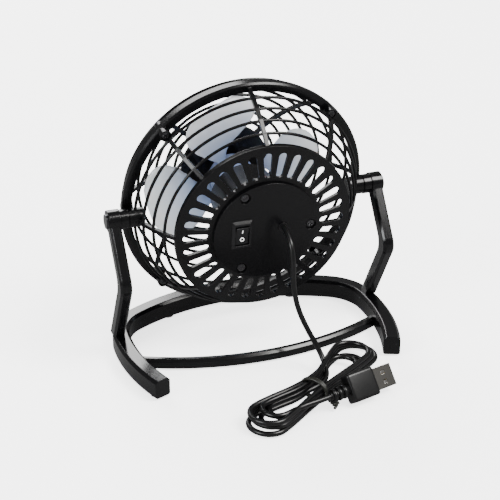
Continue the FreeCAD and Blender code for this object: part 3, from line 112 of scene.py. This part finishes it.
def makeStage():
    half = stageLook["floorSize"] / 2
    mesh = bpy.data.meshes.new("floor")
    corners = [(-half, -half, 0), (half, -half, 0), (half, half, 0), (-half, half, 0)]
    mesh.from_pydata(corners, [], [(0, 1, 2, 3)])
    floor = bpy.data.objects.new("floor", mesh)
    bpy.context.collection.objects.link(floor)
    paint = bpy.data.materials.new("floorPaint")
    paint.use_nodes = True
    shader = paint.node_tree.nodes["Principled BSDF"]
    shader.inputs["Roughness"].default_value = stageLook["floorRoughness"]
    shader.inputs["Emission Strength"].default_value = stageLook["floorGlow"]
    # Reflections see a dark floor, so that black plastic stays black.
    seen = paint.node_tree.nodes.new("ShaderNodeMix")
    seen.data_type = "RGBA"
    seen.inputs["A"].default_value = stageLook["floorColor"]
    seen.inputs["B"].default_value = stageLook["floorReflected"]
    sight = paint.node_tree.nodes.new("ShaderNodeLightPath")
    paint.node_tree.links.new(sight.outputs["Is Glossy Ray"], seen.inputs["Factor"])
    for label in ("Base Color", "Emission Color"):
        paint.node_tree.links.new(seen.outputs["Result"], shader.inputs[label])
    mesh.materials.append(paint)
    world = bpy.data.worlds.new("studio")
    world.use_nodes = True
    sky = world.node_tree.nodes["Background"]
    sky.inputs["Color"].default_value = stageLook["worldColor"]
    rays = world.node_tree.nodes.new("ShaderNodeLightPath")
    strength = world.node_tree.nodes.new("ShaderNodeMapRange")
    strength.inputs["To Min"].default_value = stageLook["worldStrength"]
    strength.inputs["To Max"].default_value = stageLook["reflectedStrength"]
    world.node_tree.links.new(rays.outputs["Is Glossy Ray"], strength.inputs["Value"])
    world.node_tree.links.new(strength.outputs["Result"], sky.inputs["Strength"])
    bpy.context.scene.world = world
    for name, (place, size, watts, color) in lights.items():
        data = bpy.data.lights.new(name, "AREA")
        data.size, data.energy, data.color = size, watts, color
        lamp = bpy.data.objects.new(name, data)
        bpy.context.collection.objects.link(lamp)
        lamp.location = place
        look = Vector(stageLook["lightAim"]) - lamp.location
        lamp.rotation_euler = look.to_track_quat("-Z", "Y").to_euler()


makeCamera()
makeStage()
print("stage: camera, floor and lights")


# Shared shader groups.
# Shader group with float inputs and outputs of the given socket types.
def newGroup(name, inputs, outputs):
    group = bpy.data.node_groups.new(name, "ShaderNodeTree")
    for label, value in inputs.items():
        socket = group.interface.new_socket(label, in_out="INPUT", socket_type="NodeSocketFloat")
        socket.default_value = value
    for label, kind in outputs.items():
        group.interface.new_socket(label, in_out="OUTPUT", socket_type=kind)
    return group, group.nodes.new("NodeGroupInput"), group.nodes.new("NodeGroupOutput")


def addNoise(tree, coordinates, scale, detail):
    noise = tree.nodes.new("ShaderNodeTexNoise")
    noise.inputs["Detail"].default_value = detail
    tree.links.new(coordinates, noise.inputs["Vector"])
    if isinstance(scale, (int, float)):
        noise.inputs["Scale"].default_value = scale
    else:
        tree.links.new(scale, noise.inputs["Scale"])
    return noise.outputs["Fac"]


def addMath(tree, operation, first, second):
    node = tree.nodes.new("ShaderNodeMath")
    node.operation = operation
    for socket, value in zip(node.inputs, (first, second)):
        if isinstance(value, (int, float)):
            socket.default_value = value
        else:
            tree.links.new(value, socket)
    return node.outputs[0]


# Moulded surface: fine grain over softened edges as a normal, slow cloudiness and sparse dust as masks.
grainLook = {"bumpDistance": 0.0002, "bevelSamples": 6, "speckScale": 420, "speckSize": 0.05,
             "dustFrom": 0.56}


def makeGrainGroup():
    group, given, result = newGroup(
        "mouldedSurface",
        {"Grain Scale": 900.0, "Grain Height": 0.1, "Cloud Scale": 35.0, "Edge Radius": 0.0003},
        {"Normal": "NodeSocketVector", "Cloud": "NodeSocketFloat", "Dust": "NodeSocketFloat"})
    place = group.nodes.new("ShaderNodeTexCoord").outputs["Object"]
    grain = addNoise(group, place, given.outputs["Grain Scale"], 3)
    cloud = addNoise(group, place, given.outputs["Cloud Scale"], 4)
    bump = group.nodes.new("ShaderNodeBump")
    bump.inputs["Distance"].default_value = grainLook["bumpDistance"]
    group.links.new(given.outputs["Grain Height"], bump.inputs["Strength"])
    softEdge = group.nodes.new("ShaderNodeBevel")
    softEdge.samples = grainLook["bevelSamples"]
    group.links.new(given.outputs["Edge Radius"], softEdge.inputs["Radius"])
    group.links.new(softEdge.outputs["Normal"], bump.inputs["Normal"])
    group.links.new(grain, bump.inputs["Height"])
    speck = group.nodes.new("ShaderNodeTexVoronoi")
    speck.inputs["Scale"].default_value = grainLook["speckScale"]
    group.links.new(place, speck.inputs["Vector"])
    near = addMath(group, "LESS_THAN", speck.outputs["Distance"], grainLook["speckSize"])
    dusty = addMath(group, "GREATER_THAN", cloud, grainLook["dustFrom"])
    dust = addMath(group, "MULTIPLY", near, dusty)
    group.links.new(bump.outputs["Normal"], result.inputs["Normal"])
    group.links.new(cloud, result.inputs["Cloud"])
    group.links.new(dust, result.inputs["Dust"])
    return group


grainGroup = makeGrainGroup()


# Principled material whose roughness and colour follow the moulded-surface masks.
def makeSurface(name, color, roughness, **more):
    material = bpy.data.materials.new(name)
    material.use_nodes = True
    tree = material.node_tree
    shader = tree.nodes["Principled BSDF"]
    group = tree.nodes.new("ShaderNodeGroup")
    group.node_tree = grainGroup
    for label in ("Grain Scale", "Grain Height", "Cloud Scale", "Edge Radius"):
        if label in more:
            group.inputs[label].default_value = more.pop(label)
    spread = tree.nodes.new("ShaderNodeMapRange")
    change = more.pop("change", 0.25)
    spread.inputs["To Min"].default_value = roughness * (1 - change)
    spread.inputs["To Max"].default_value = min(1, roughness * (1 + change))
    tree.links.new(group.outputs["Cloud"], spread.inputs["Value"])
    tree.links.new(spread.outputs["Result"], shader.inputs["Roughness"])
    tint = tree.nodes.new("ShaderNodeMix")
    tint.data_type = "RGBA"
    tint.inputs["A"].default_value = (*color, 1)
    dustColor = more.pop("dustColor", tuple(min(1, c * 1.6 + 0.02) for c in color))
    tint.inputs["B"].default_value = (*dustColor, 1)
    tree.links.new(group.outputs["Dust"], tint.inputs["Factor"])
    tree.links.new(tint.outputs["Result"], shader.inputs["Base Color"])
    tree.links.new(group.outputs["Normal"], shader.inputs["Normal"])
    for label, value in more.items():
        shader.inputs[label].default_value = value
    return material


# slot: colour, roughness and what else its material has
finishes = {
    "frame_black": ((0.0016, 0.0016, 0.0019), 0.22, {"Grain Height": 0.08, "Specular IOR Level": 0.32,
                                                     "Edge Radius": 0.00035}),
    "stand_black": ((0.0015, 0.0015, 0.0018), 0.17, {"Grain Height": 0.03, "Specular IOR Level": 0.4,
                                                    "Edge Radius": 0.0006}),
    "screw_steel": ((0.085, 0.085, 0.09), 0.28, {"Metallic": 0.9, "Grain Height": 0.1}),
    "foot_rubber": ((0.015, 0.015, 0.015), 0.7, {"Grain Height": 0.3}),
    "motor_steel": ((0.45, 0.45, 0.46), 0.32, {"Metallic": 1.0}),
    "motor_plastic": ((0.02, 0.02, 0.02), 0.5, {}),
    "bush_bronze": ((0.5, 0.33, 0.17), 0.5, {"Metallic": 1.0}),
    "magnet_ferrite": ((0.05, 0.05, 0.055), 0.6, {"Metallic": 0.3}),
    "copper": ((0.6, 0.26, 0.12), 0.35, {"Metallic": 1.0}),
    "switch_plastic": ((0.003, 0.003, 0.0035), 0.24, {"Grain Height": 0.05, "Specular IOR Level": 0.4}),
    "terminal_brass": ((0.75, 0.55, 0.22), 0.25, {"Metallic": 1.0}),
    "cord_rubber": ((0.0028, 0.0028, 0.0030), 0.3, {"Grain Height": 0.1, "Specular IOR Level": 0.4}),
    "tie_plastic": ((0.010, 0.0105, 0.008), 0.4, {"Grain Height": 0.2}),
    "plug_nickel": ((0.30, 0.29, 0.27), 0.17, {"Metallic": 1.0, "Grain Height": 0.03, "change": 0.4}),
    "tongue_plastic": ((0.75, 0.75, 0.74), 0.4, {}),
    "mark_white": ((0.8, 0.8, 0.8), 0.45, {}),
}
materials = {slot: makeSurface(slot, color, rough, **more) for slot, (color, rough, more) in finishes.items()}


# Milky bluish plastic that lets part of the light through; its inner colour is painted shade near the hub.
bladeTintAndHubShade = {"hubDepth": -0.024, "reach": (0.018, 0.047), "inner": (0.30, 0.38, 0.62, 1),
             "outer": (0.93, 0.96, 1.0, 1), "subsurface": 0.35, "subsurfaceRadius": (0.004, 0.005, 0.006)}


def makeBladeMaterial():
    material = makeSurface("blade_plastic", (0.90, 0.94, 1.0), 0.16, **{
        "Grain Height": 0.03, "Transmission Weight": 0.45, "IOR": 1.46, "Coat Weight": 0.2,
        "dustColor": (0.6, 0.66, 0.7)})
    tree = material.node_tree
    shader = tree.nodes["Principled BSDF"]
    shader.inputs["Subsurface Weight"].default_value = bladeTintAndHubShade["subsurface"]
    shader.inputs["Subsurface Radius"].default_value = bladeTintAndHubShade["subsurfaceRadius"]
    shader.inputs["Subsurface Scale"].default_value = 1.0
    # Painted shade: bluer and darker near the hub, standing in for the shadow of the motor housing behind the
    # blades.
    place = tree.nodes.new("ShaderNodeTexCoord")
    reach = tree.nodes.new("ShaderNodeVectorMath")
    reach.operation = "DISTANCE"
    reach.inputs[1].default_value = headPlace @ Vector((0, 0, bladeTintAndHubShade["hubDepth"]))
    tree.links.new(place.outputs["Object"], reach.inputs[0])
    share = tree.nodes.new("ShaderNodeMapRange")
    share.inputs["From Min"].default_value, share.inputs["From Max"].default_value = bladeTintAndHubShade["reach"]
    tree.links.new(reach.outputs["Value"], share.inputs["Value"])
    paintedHubShade = tree.nodes.new("ShaderNodeMix")
    paintedHubShade.data_type = "RGBA"
    paintedHubShade.inputs["A"].default_value = bladeTintAndHubShade["inner"]
    paintedHubShade.inputs["B"].default_value = bladeTintAndHubShade["outer"]
    tree.links.new(share.outputs["Result"], paintedHubShade.inputs["Factor"])
    tree.links.new(paintedHubShade.outputs["Result"], shader.inputs["Base Color"])
    return material


materials["blade_plastic"] = makeBladeMaterial()


def paintNodes():
    for part in record["subparts"]:
        node = bpy.data.objects[part["node"]]
        node.data.materials.clear()
        node.data.materials.append(materials[part["material_slot"]])


paintNodes()
print("stage: materials on the carried-over pieces")

# Cord.
cordShape = {
    "radius": 0.0015,
    "turns": 5,
    "lobeDegrees": (-90, -48, -8, 32, 64, 96),
    "tie": (-0.009, 0.075),
    "leftEnd": (0.0225, 0.0915),
    "rightEnd": (-0.0460, 0.0445),
    "lanes": ((0.0048, 0.0026), (0.0016, 0.0026), (0.0047, 0.0057), (0.0016, 0.0057), (0.0046, 0.0087),
              (0.0014, 0.0089)),
    "leftRounds": (0.0112, 0.0086, 0.0108, 0.0078, 0.0110, 0.0079),
    "rightRounds": (0.0118, 0.0088, 0.0112, 0.0080, 0.0104),
    "leftSlips": (0.0, -0.0060, -0.0025, -0.0110, -0.0008, -0.0060),
    "rightSlips": (0.0, -0.0090, -0.0035, -0.0150, -0.0060),
    "leftHeights": (0.0021, 0.0021, 0.0052, 0.0050, 0.0082, 0.0083),
    "rightHeights": (0.0021, 0.0021, 0.0052, 0.0048, 0.0080),
}
# Control points of the hanging stretch, from the hole in the cover to the bundle.
dropPoints = [(-0.0095, 0.0251, 0.0793), (-0.0095, 0.0361, 0.0778), (-0.0093, 0.0414, 0.0668),
              (-0.0091, 0.0422, 0.0555), (-0.0102, 0.0424, 0.0450), (-0.0130, 0.0427, 0.0345),
              (-0.0176, 0.0439, 0.0236), (-0.0224, 0.0472, 0.0136), (-0.0242, 0.0534, 0.0064),
              (-0.0224, 0.0610, 0.0039), (-0.0175, 0.0670, 0.0034)]
tailPoints = [(0.0080, 0.0934, 0.0083), (0.0010, 0.0912, 0.0084), (-0.0068, 0.0898, 0.0084),
              (-0.0137, 0.0879, 0.0084)]


# U of control points round the far end of a lobe; outward is +1 on the left lobe, -1 on the right one.
def lobePoints(end, reach, slip, height, outward):
    tie = Vector(cordShape["tie"])
    along = (Vector(end) - tie).normalized() * outward
    aside = Vector((-along.y, along.x))
    middle = Vector(end) + along * slip * outward
    points = []
    for degrees in cordShape["lobeDegrees"]:
        angle = math.radians(degrees)
        corner = middle + (aside * math.sin(angle) + along * math.cos(angle)) * outward * reach
        points.append((corner.x, corner.y, height))
    return points


# Turns of the tied bundle: past the tie, round the left lobe, back past the tie, round the right lobe.
def hankPoints():
    tie = Vector(cordShape["tie"])
    run = (Vector(cordShape["leftEnd"]) - Vector(cordShape["rightEnd"])).normalized()
    aside = Vector((-run.y, run.x))
    points = []
    for turn in range(cordShape["turns"] + 1):
        lane, height = cordShape["lanes"][turn]
        near = tie - aside * lane
        points.append((near.x, near.y, height))
        points += lobePoints(cordShape["leftEnd"], cordShape["leftRounds"][turn],
                             cordShape["leftSlips"][turn], cordShape["leftHeights"][turn], 1)
        if turn == cordShape["turns"]:
            break
        far = tie + aside * lane
        points.append((far.x, far.y, height))
        points += lobePoints(cordShape["rightEnd"], cordShape["rightRounds"][turn],
                             cordShape["rightSlips"][turn], cordShape["rightHeights"][turn], -1)
    return points


curveSteps = {"round": 5, "along": 10, "order": 3}


def routeCurve(name, points, bevel):
    data = bpy.data.curves.new(name, "CURVE")
    data.dimensions = "3D"
    data.bevel_depth = bevel
    data.bevel_resolution = curveSteps["round"]
    data.resolution_u = curveSteps["along"]
    data.use_fill_caps = bevel > 0
    spline = data.splines.new("NURBS")
    spline.points.add(len(points) - 1)
    for target, point in zip(spline.points, points):
        target.co = (*point, 1)
    spline.order_u = curveSteps["order"]
    spline.use_endpoint_u = True
    curve = bpy.data.objects.new(name, data)
    bpy.context.collection.objects.link(curve)
    bpy.context.view_layer.update()
    mesh = bpy.data.meshes.new_from_object(curve.evaluated_get(bpy.context.evaluated_depsgraph_get()))
    bpy.data.objects.remove(curve)
    return mesh


def addPiece(name, mesh, material, body=None, smooth=True):
    mesh.name = name
    mesh.materials.clear()
    mesh.materials.append(materials[material])
    for face in mesh.polygons:
        face.use_smooth = smooth
    piece = bpy.data.objects.new(name, mesh)
    bpy.context.collection.objects.link(piece)
    if body:
        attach(piece, body)
    return piece


def makeCord():
    points = dropPoints + hankPoints() + tailPoints
    line = routeCurve("cordLine", points, 0)
    path = [tuple(vertex.co) for vertex in line.vertices]
    length = sum((Vector(a) - Vector(b)).length for a, b in zip(path, path[1:]))
    print("cord length", round(length, 3))
    cord = addPiece("powerCord", routeCurve("powerCord", points, cordShape["radius"]), "cord_rubber")
    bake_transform(cord)
    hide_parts("cord_drop", "cord_hank", "cord_tail")
    return cord, path, length


cord, cordPath, cordLength = makeCord()
print("stage: cord")

# Repeated pieces by geometry nodes.
# Copies the given geometry Count times, each turned by Turn and moved by Step from the one before.
def makeRepeatTree(name, material):
    tree = bpy.data.node_groups.new(name, "GeometryNodeTree")
    tree.interface.new_socket("Geometry", in_out="INPUT", socket_type="NodeSocketGeometry")
    for label, kind in (("Count", "NodeSocketInt"), ("Turn", "NodeSocketFloat"), ("Step", "NodeSocketFloat")):
        tree.interface.new_socket(label, in_out="INPUT", socket_type=kind)
    tree.interface.new_socket("Geometry", in_out="OUTPUT", socket_type="NodeSocketGeometry")
    given, result = tree.nodes.new("NodeGroupInput"), tree.nodes.new("NodeGroupOutput")
    line = tree.nodes.new("GeometryNodeMeshLine")
    offset = tree.nodes.new("ShaderNodeCombineXYZ")
    tree.links.new(given.outputs["Step"], offset.inputs["Z"])
    tree.links.new(given.outputs["Count"], line.inputs["Count"])
    tree.links.new(offset.outputs["Vector"], line.inputs["Offset"])
    index = tree.nodes.new("GeometryNodeInputIndex")
    angle = tree.nodes.new("ShaderNodeMath")
    angle.operation = "MULTIPLY"
    tree.links.new(index.outputs["Index"], angle.inputs[0])
    tree.links.new(given.outputs["Turn"], angle.inputs[1])
    spin = tree.nodes.new("ShaderNodeCombineXYZ")
    tree.links.new(angle.outputs[0], spin.inputs["Z"])
    copies = tree.nodes.new("GeometryNodeInstanceOnPoints")
    tree.links.new(line.outputs["Mesh"], copies.inputs["Points"])
    tree.links.new(given.outputs["Geometry"], copies.inputs["Instance"])
    tree.links.new(spin.outputs["Vector"], copies.inputs["Rotation"])
    real = tree.nodes.new("GeometryNodeRealizeInstances")
    paint = tree.nodes.new("GeometryNodeSetMaterial")
    paint.inputs["Material"].default_value = material
    tree.links.new(copies.outputs["Instances"], real.inputs["Geometry"])
    tree.links.new(real.outputs["Geometry"], paint.inputs["Geometry"])
    tree.links.new(paint.outputs["Geometry"], result.inputs["Geometry"])
    return tree


# One plain mesh of the repeated pieces.
def repeated(name, mesh, material, count, turn=0.0, step=0.0):
    carrier = bpy.data.objects.new(name + "Carrier", mesh)
    bpy.context.collection.objects.link(carrier)
    tree = makeRepeatTree(name + "Tree", materials[material])
    modifier = carrier.modifiers.new("repeat", "NODES")
    modifier.node_group = tree
    sockets = {item.name: item.identifier for item in tree.interface.items_tree if item.in_out == "INPUT"}
    for label, value in (("Count", count), ("Turn", turn), ("Step", step)):
        modifier[sockets[label]] = value
    bpy.context.view_layer.update()
    whole = bpy.data.meshes.new_from_object(carrier.evaluated_get(bpy.context.evaluated_depsgraph_get()))
    bpy.data.objects.remove(carrier)
    return whole


# Mesh from rows of points.
def gridMesh(name, rows, closedAcross=False):
    across = len(rows[0])
    faces = []
    for i in range(len(rows) - 1):
        for j in range(across if closedAcross else across - 1):
            k = (j + 1) % across
            faces.append((i * across + j, i * across + k, (i + 1) * across + k, (i + 1) * across + j))
    mesh = bpy.data.meshes.new(name)
    mesh.from_pydata([tuple(point) for row in rows for point in row], [], faces)
    return mesh


def tidyMesh(mesh, join=1e-6, close=False):
    work = bmesh.new()
    work.from_mesh(mesh)
    bmesh.ops.remove_doubles(work, verts=work.verts, dist=join)
    if close:
        bmesh.ops.holes_fill(work, edges=[edge for edge in work.edges if edge.is_boundary], sides=0)
    bmesh.ops.recalc_face_normals(work, faces=work.faces)
    work.to_mesh(mesh)
    work.free()
    return mesh


# Turned piece round Z from (radius, height) pairs; an outline that ends on the axis closes itself.
def latheMesh(name, outline, steps=96):
    rows = []
    for i in range(steps):
        angle = 2 * math.pi * i / steps
        rows.append([(r * math.cos(angle), r * math.sin(angle), z) for r, z in outline])
    rows.append(rows[0])
    return tidyMesh(gridMesh(name, rows), 1e-7)


# Value between the rows of a table of pairs.
def between(value, table):
    for (a, fa), (b, fb) in zip(table, table[1:]):
        if value <= b:
            share = (value - a) / (b - a)
            return fa + (fb - fa) * share
    return table[-1][1]


# Impeller.
blade = {
    "count": 4,
    "thickness": 0.0013,
    "middle": -0.0240,
    "root": 0.0130,
    "tip": 0.0515,
    "cup": 0.0010,
    "rings": 26,
    "across": 22,
    "lowEdge": ((0.0130, -34), (0.0180, -37), (0.0220, -41), (0.0260, -44.5), (0.0320, -47), (0.0380, -46.8),
                (0.0430, -44.5), (0.0470, -40), (0.0500, -33.5), (0.0515, -24)),
    "highEdge": ((0.0130, -16), (0.0180, -9), (0.0220, 0), (0.0260, 9), (0.0320, 15.5), (0.0380, 18),
                 (0.0430, 17.5), (0.0470, 14), (0.0500, 7.5), (0.0515, -2)),
    "rise": ((0.0130, 0.0046), (0.0300, 0.0048), (0.0515, 0.0041)),
}


# One blade with a rounded outline, its high edge nearer to the front, cupped a little.
def makeBlade():
    rings, across = blade["rings"], blade["across"]
    faces = {1: [], -1: []}
    for i in range(rings + 1):
        radius = blade["root"] + (blade["tip"] - blade["root"]) * (1 - (1 - i / rings) ** 1.35)
        low, high = between(radius, blade["lowEdge"]), between(radius, blade["highEdge"])
        rise = between(radius, blade["rise"])
        for side in faces:
            row = []
            for j in range(across + 1):
                share = j / across
                angle = math.radians(low + (high - low) * share)
                edge = min(1, 6 * min(share, 1 - share), 7 * (1 - i / rings))
                cup = blade["cup"] * (1 - (2 * share - 1) ** 2)
                half = blade["thickness"] / 2 * math.sqrt(max(edge, 0.0) * (2 - edge)) * side
                depth = blade["middle"] - rise * (2 * share - 1) + cup + half
                row.append((radius * math.cos(angle), -radius * math.sin(angle), depth))
            faces[side].append(row)
    rows = [top + bottom[::-1] for top, bottom in zip(faces[1], faces[-1])]
    return tidyMesh(gridMesh("blade", rows, closedAcross=True), close=True)


hub = {"front": -0.033, "rear": -0.0155, "radius": 0.0138}


def makeImpeller():
    count = blade["count"]
    blades = repeated("blades", makeBlade(), "blade_plastic", count, turn=2 * math.pi / count)
    blades.transform(headPlace)
    piece = addPiece("bladeSet", blades, "blade_plastic", "fan")
    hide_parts("impeller")
    front, rear, radius = hub["front"], hub["rear"], hub["radius"]
    turned = latheMesh("hub", [
        (0, front), (0.009, front + 0.0002), (0.0118, front + 0.0010), (0.0130, front + 0.0028),
        (radius, rear - 0.0004), (radius - 0.0004, rear), (radius - 0.0012, rear),
        (radius - 0.0016, rear - 0.0005), (0.0112, front + 0.0034), (0.0034, front + 0.0026),
        (0.0032, rear - 0.001), (0.0028, rear), (0.0012, rear), (0.0011, front + 0.002), (0, front + 0.002)])
    turned.transform(headPlace)
    addPiece("hub", turned, "blade_plastic", "fan")


makeImpeller()
print("stage: impeller")


# Switch marks.
marks = {"middle": (0.0140, 0.0313), "turn": -7.0, "proud": 0.00014, "sunk": -0.0001,
         "strokeLength": 0.0022, "stroke": 0.00042, "strokePlace": -0.0028,
         "ringRadii": (0.0012, 0.0008), "ringPlace": (-0.0001, 0.0025), "ringSteps": 48,
         "faceHeight": 0.0007, "faceRise": 0.0008, "faceReach": 0.0055}


# Height of the rocker's hollow face above its axle, at a place down its face.
def rockerFace(down):
    return marks["faceHeight"] + marks["faceRise"] * abs(down) / marks["faceReach"]


# A stroke on the upper half and a ring on the lower half of the rocker.
def makeMarks():
    place = headPlace @ Matrix.Translation((marks["middle"][0], 0, marks["middle"][1])) \
        @ Matrix.Rotation(math.radians(marks["turn"]), 4, "X")
    half, long = marks["stroke"] / 2, marks["strokeLength"] / 2
    top, bottom = marks["strokePlace"] - long, marks["strokePlace"] + long
    outline = [(-half, top), (half, top), (half, bottom), (-half, bottom)]
    sunk, proud = marks["sunk"], marks["proud"]
    rows = [[(x, y, rockerFace(y) + lift) for x, y in outline] for lift in (sunk, proud)]
    stroke = gridMesh("stroke", rows, closedAcross=True)
    outer, inner = marks["ringRadii"]
    aside, down = marks["ringPlace"]
    ringRows = []
    for i in range(marks["ringSteps"] + 1):
        angle = 2 * math.pi * i / marks["ringSteps"]
        row = []
        for radius, lift in ((outer, sunk), (outer, proud), (inner, proud), (inner, sunk)):
            x, y = radius * math.cos(angle) + aside, down + radius * math.sin(angle)
            row.append((x, y, rockerFace(y) + lift))
        ringRows.append(row)
    ring = gridMesh("ring", ringRows, closedAcross=True)
    for name, mesh in (("strokeMark", stroke), ("ringMark", ring)):
        tidyMesh(mesh, 1e-7, close=True)
        mesh.transform(place)
        addPiece(name, mesh, "mark_white", "rocker", smooth=False)


makeMarks()
print("stage: switch marks")


# Plug.
plug = {"turn": 195.0, "roll": 53.0, "rear": (-0.0243, 0.0851, 0.0084), "length": 0.017, "width": 0.0156,
        "thick": 0.008, "edge": 0.0017, "reliefLength": 0.011, "rings": 3, "ringStep": 0.0033,
        "firstRing": 0.0014}


def roundedBlock(name, size, radius, segments=4):
    work = bmesh.new()
    bmesh.ops.create_cube(work, size=1)
    bmesh.ops.scale(work, vec=size, verts=work.verts)
    bmesh.ops.bevel(work, geom=work.edges, offset=radius, segments=segments, profile=0.6, affect="EDGES")
    mesh = bpy.data.meshes.new(name)
    work.to_mesh(mesh)
    work.free()
    return mesh


# Grip with rounded edges, and the ribbed strain relief behind it.
def makePlug():
    place = Matrix.Translation(plug["rear"]) @ Matrix.Rotation(math.radians(plug["turn"]), 4, "Z") \
        @ Matrix.Rotation(math.radians(plug["roll"]), 4, "X")
    grip = roundedBlock("plugGrip", (plug["length"], plug["width"], plug["thick"]), plug["edge"])
    grip.transform(place @ Matrix.Translation((plug["length"] / 2, 0, 0)))
    gripPiece = addPiece("plugGrip", grip, "cord_rubber", "stand")
    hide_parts("plug_body")
    long = plug["reliefLength"]
    collar = latheMesh("collar", [(0.0026, -0.0010), (0.0036, -0.0009), (0.0038, 0), (0.0036, 0.0009),
                                  (0.0026, 0.0010), (0.0026, -0.0010)], 40)
    rings = repeated("reliefRings", collar, "cord_rubber", plug["rings"], step=plug["ringStep"])
    core = latheMesh("core", [(0, -0.0005), (0.0019, -0.0005), (0.0023, 0), (0.0031, long + 0.0006),
                               (0, long + 0.0006)], 40)
    work = bmesh.new()
    work.from_mesh(core)
    rings.transform(Matrix.Translation((0, 0, plug["firstRing"])))
    work.from_mesh(rings)
    relief = bpy.data.meshes.new("plugRelief")
    work.to_mesh(relief)
    work.free()
    relief.transform(place @ Matrix.Translation((-long, 0, 0)) @ Matrix.Rotation(math.pi / 2, 4, "Y"))
    reliefPiece = addPiece("plugRelief", relief, "cord_rubber", "stand")
    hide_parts("plug_relief")
    return [gripPiece, reliefPiece]


plugPieces = makePlug()
print("stage: plug")

# Twist tie.
twistTie = {"radius": 0.0008, "halfWidth": 0.0080, "halfHeight": 0.0057, "middle": 0.0066, "shift": 0.0013,
            "tailLength": 0.0085, "tailRadius": 0.0011, "tailPitch": 0.0036, "tailGap": 0.0006,
            "tailDrop": 0.0016, "lean": (0.93, 0.33, 0.16), "flare": 0.9, "tailSteps": 16, "loopSteps": 26}


# One flat wire twice round the bundle, its two ends twisted together beside it.
def makeTwistTie():
    run = (Vector(cordShape["leftEnd"]) - Vector(cordShape["rightEnd"])).normalized()
    along, aside = Vector((run.x, run.y, 0)), Vector((-run.y, run.x, 0))
    middle = Vector((*cordShape["tie"], twistTie["middle"]))
    side = middle + aside * (twistTie["halfWidth"] + twistTie["tailGap"])
    side -= Vector((0, 0, twistTie["tailDrop"]))
    out, forward, down = twistTie["lean"]
    lean = (aside * out + along * forward - Vector((0, 0, down))).normalized()
    steps, loopSteps = twistTie["tailSteps"], twistTie["loopSteps"]
    cross = lean.cross(Vector((0, 0, 1))).normalized()

    def tail(phase):
        points = []
        for i in range(steps + 1):
            angle = phase + 2 * math.pi * i / steps * twistTie["tailLength"] / twistTie["tailPitch"]
            spread = twistTie["tailRadius"] * (1 + (twistTie["flare"] if i == steps else 0))
            points.append(side + lean * twistTie["tailLength"] * i / steps
                          + (cross * math.cos(angle) + cross.cross(lean) * math.sin(angle)) * spread)
        return points

    loops = []
    for i in range(1, loopSteps):
        angle = 4 * math.pi * i / loopSteps
        shift = twistTie["shift"] * (2 * i / loopSteps - 1)
        loops.append(middle + aside * twistTie["halfWidth"] * math.cos(angle) + along * shift
                     + Vector((0, 0, twistTie["halfHeight"] * math.sin(angle))))
    points = tail(0)[::-1] + loops + tail(math.pi)
    mesh = routeCurve("twistTie", points, twistTie["radius"])
    piece = addPiece("twistTie", mesh, "tie_plastic", "stand")
    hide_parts("twist_tie")
    return piece


tiePiece = makeTwistTie()
print("stage: twist tie")

# Screw heads.
screwHead = {"radius": 0.0021, "height": 0.0009, "dome": 0.0003, "crossLength": 0.0014, "crossWidth": 0.00036,
             "crossDepth": 0.0007, "steps": 96, "rings": 28}
# name, CAD node, count, circle, height of the top, first angle
screwPlaces = (
    ("coverScrewHeads", "cover_screws", 3, 0.0257, 0.03092, 180),
    ("rimScrewHeads", "grille_screws", 4, 0.0666, -0.0017, 45),
)


# Domed head with a cross recess, its top at height 0.
def screwHeadMesh():
    rows = []
    steps, rings = screwHead["steps"], screwHead["rings"]
    for i in range(steps + 1):
        angle = 2 * math.pi * i / steps
        row = [(0, 0, -screwHead["height"])]
        row.append((screwHead["radius"] * math.cos(angle), screwHead["radius"] * math.sin(angle),
                    -screwHead["height"]))
        for j in range(rings, -1, -1):
            radius = screwHead["radius"] * j / rings
            x, y = radius * math.cos(angle), radius * math.sin(angle)
            low, high = sorted((abs(x), abs(y)))
            sunk = low < screwHead["crossWidth"] and high < screwHead["crossLength"]
            height = -screwHead["dome"] * (j / rings) ** 2 - (screwHead["crossDepth"] if sunk else 0)
            row.append((x, y, height))
        rows.append(row)
    return tidyMesh(gridMesh("screwHead", rows), 1e-8)


def makeScrewHeads():
    for name, node, count, circle, top, first in screwPlaces:
        head = screwHeadMesh()
        head.transform(Matrix.Rotation(-math.radians(first), 4, "Z") @ Matrix.Translation((circle, 0, top)))
        mesh = repeated(name, head, "screw_steel", count, turn=2 * math.pi / count)
        mesh.transform(headPlace)
        piece = addPiece(name, mesh, "screw_steel", "head", smooth=False)
        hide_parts(node)


makeScrewHeads()
print("stage: screw heads")
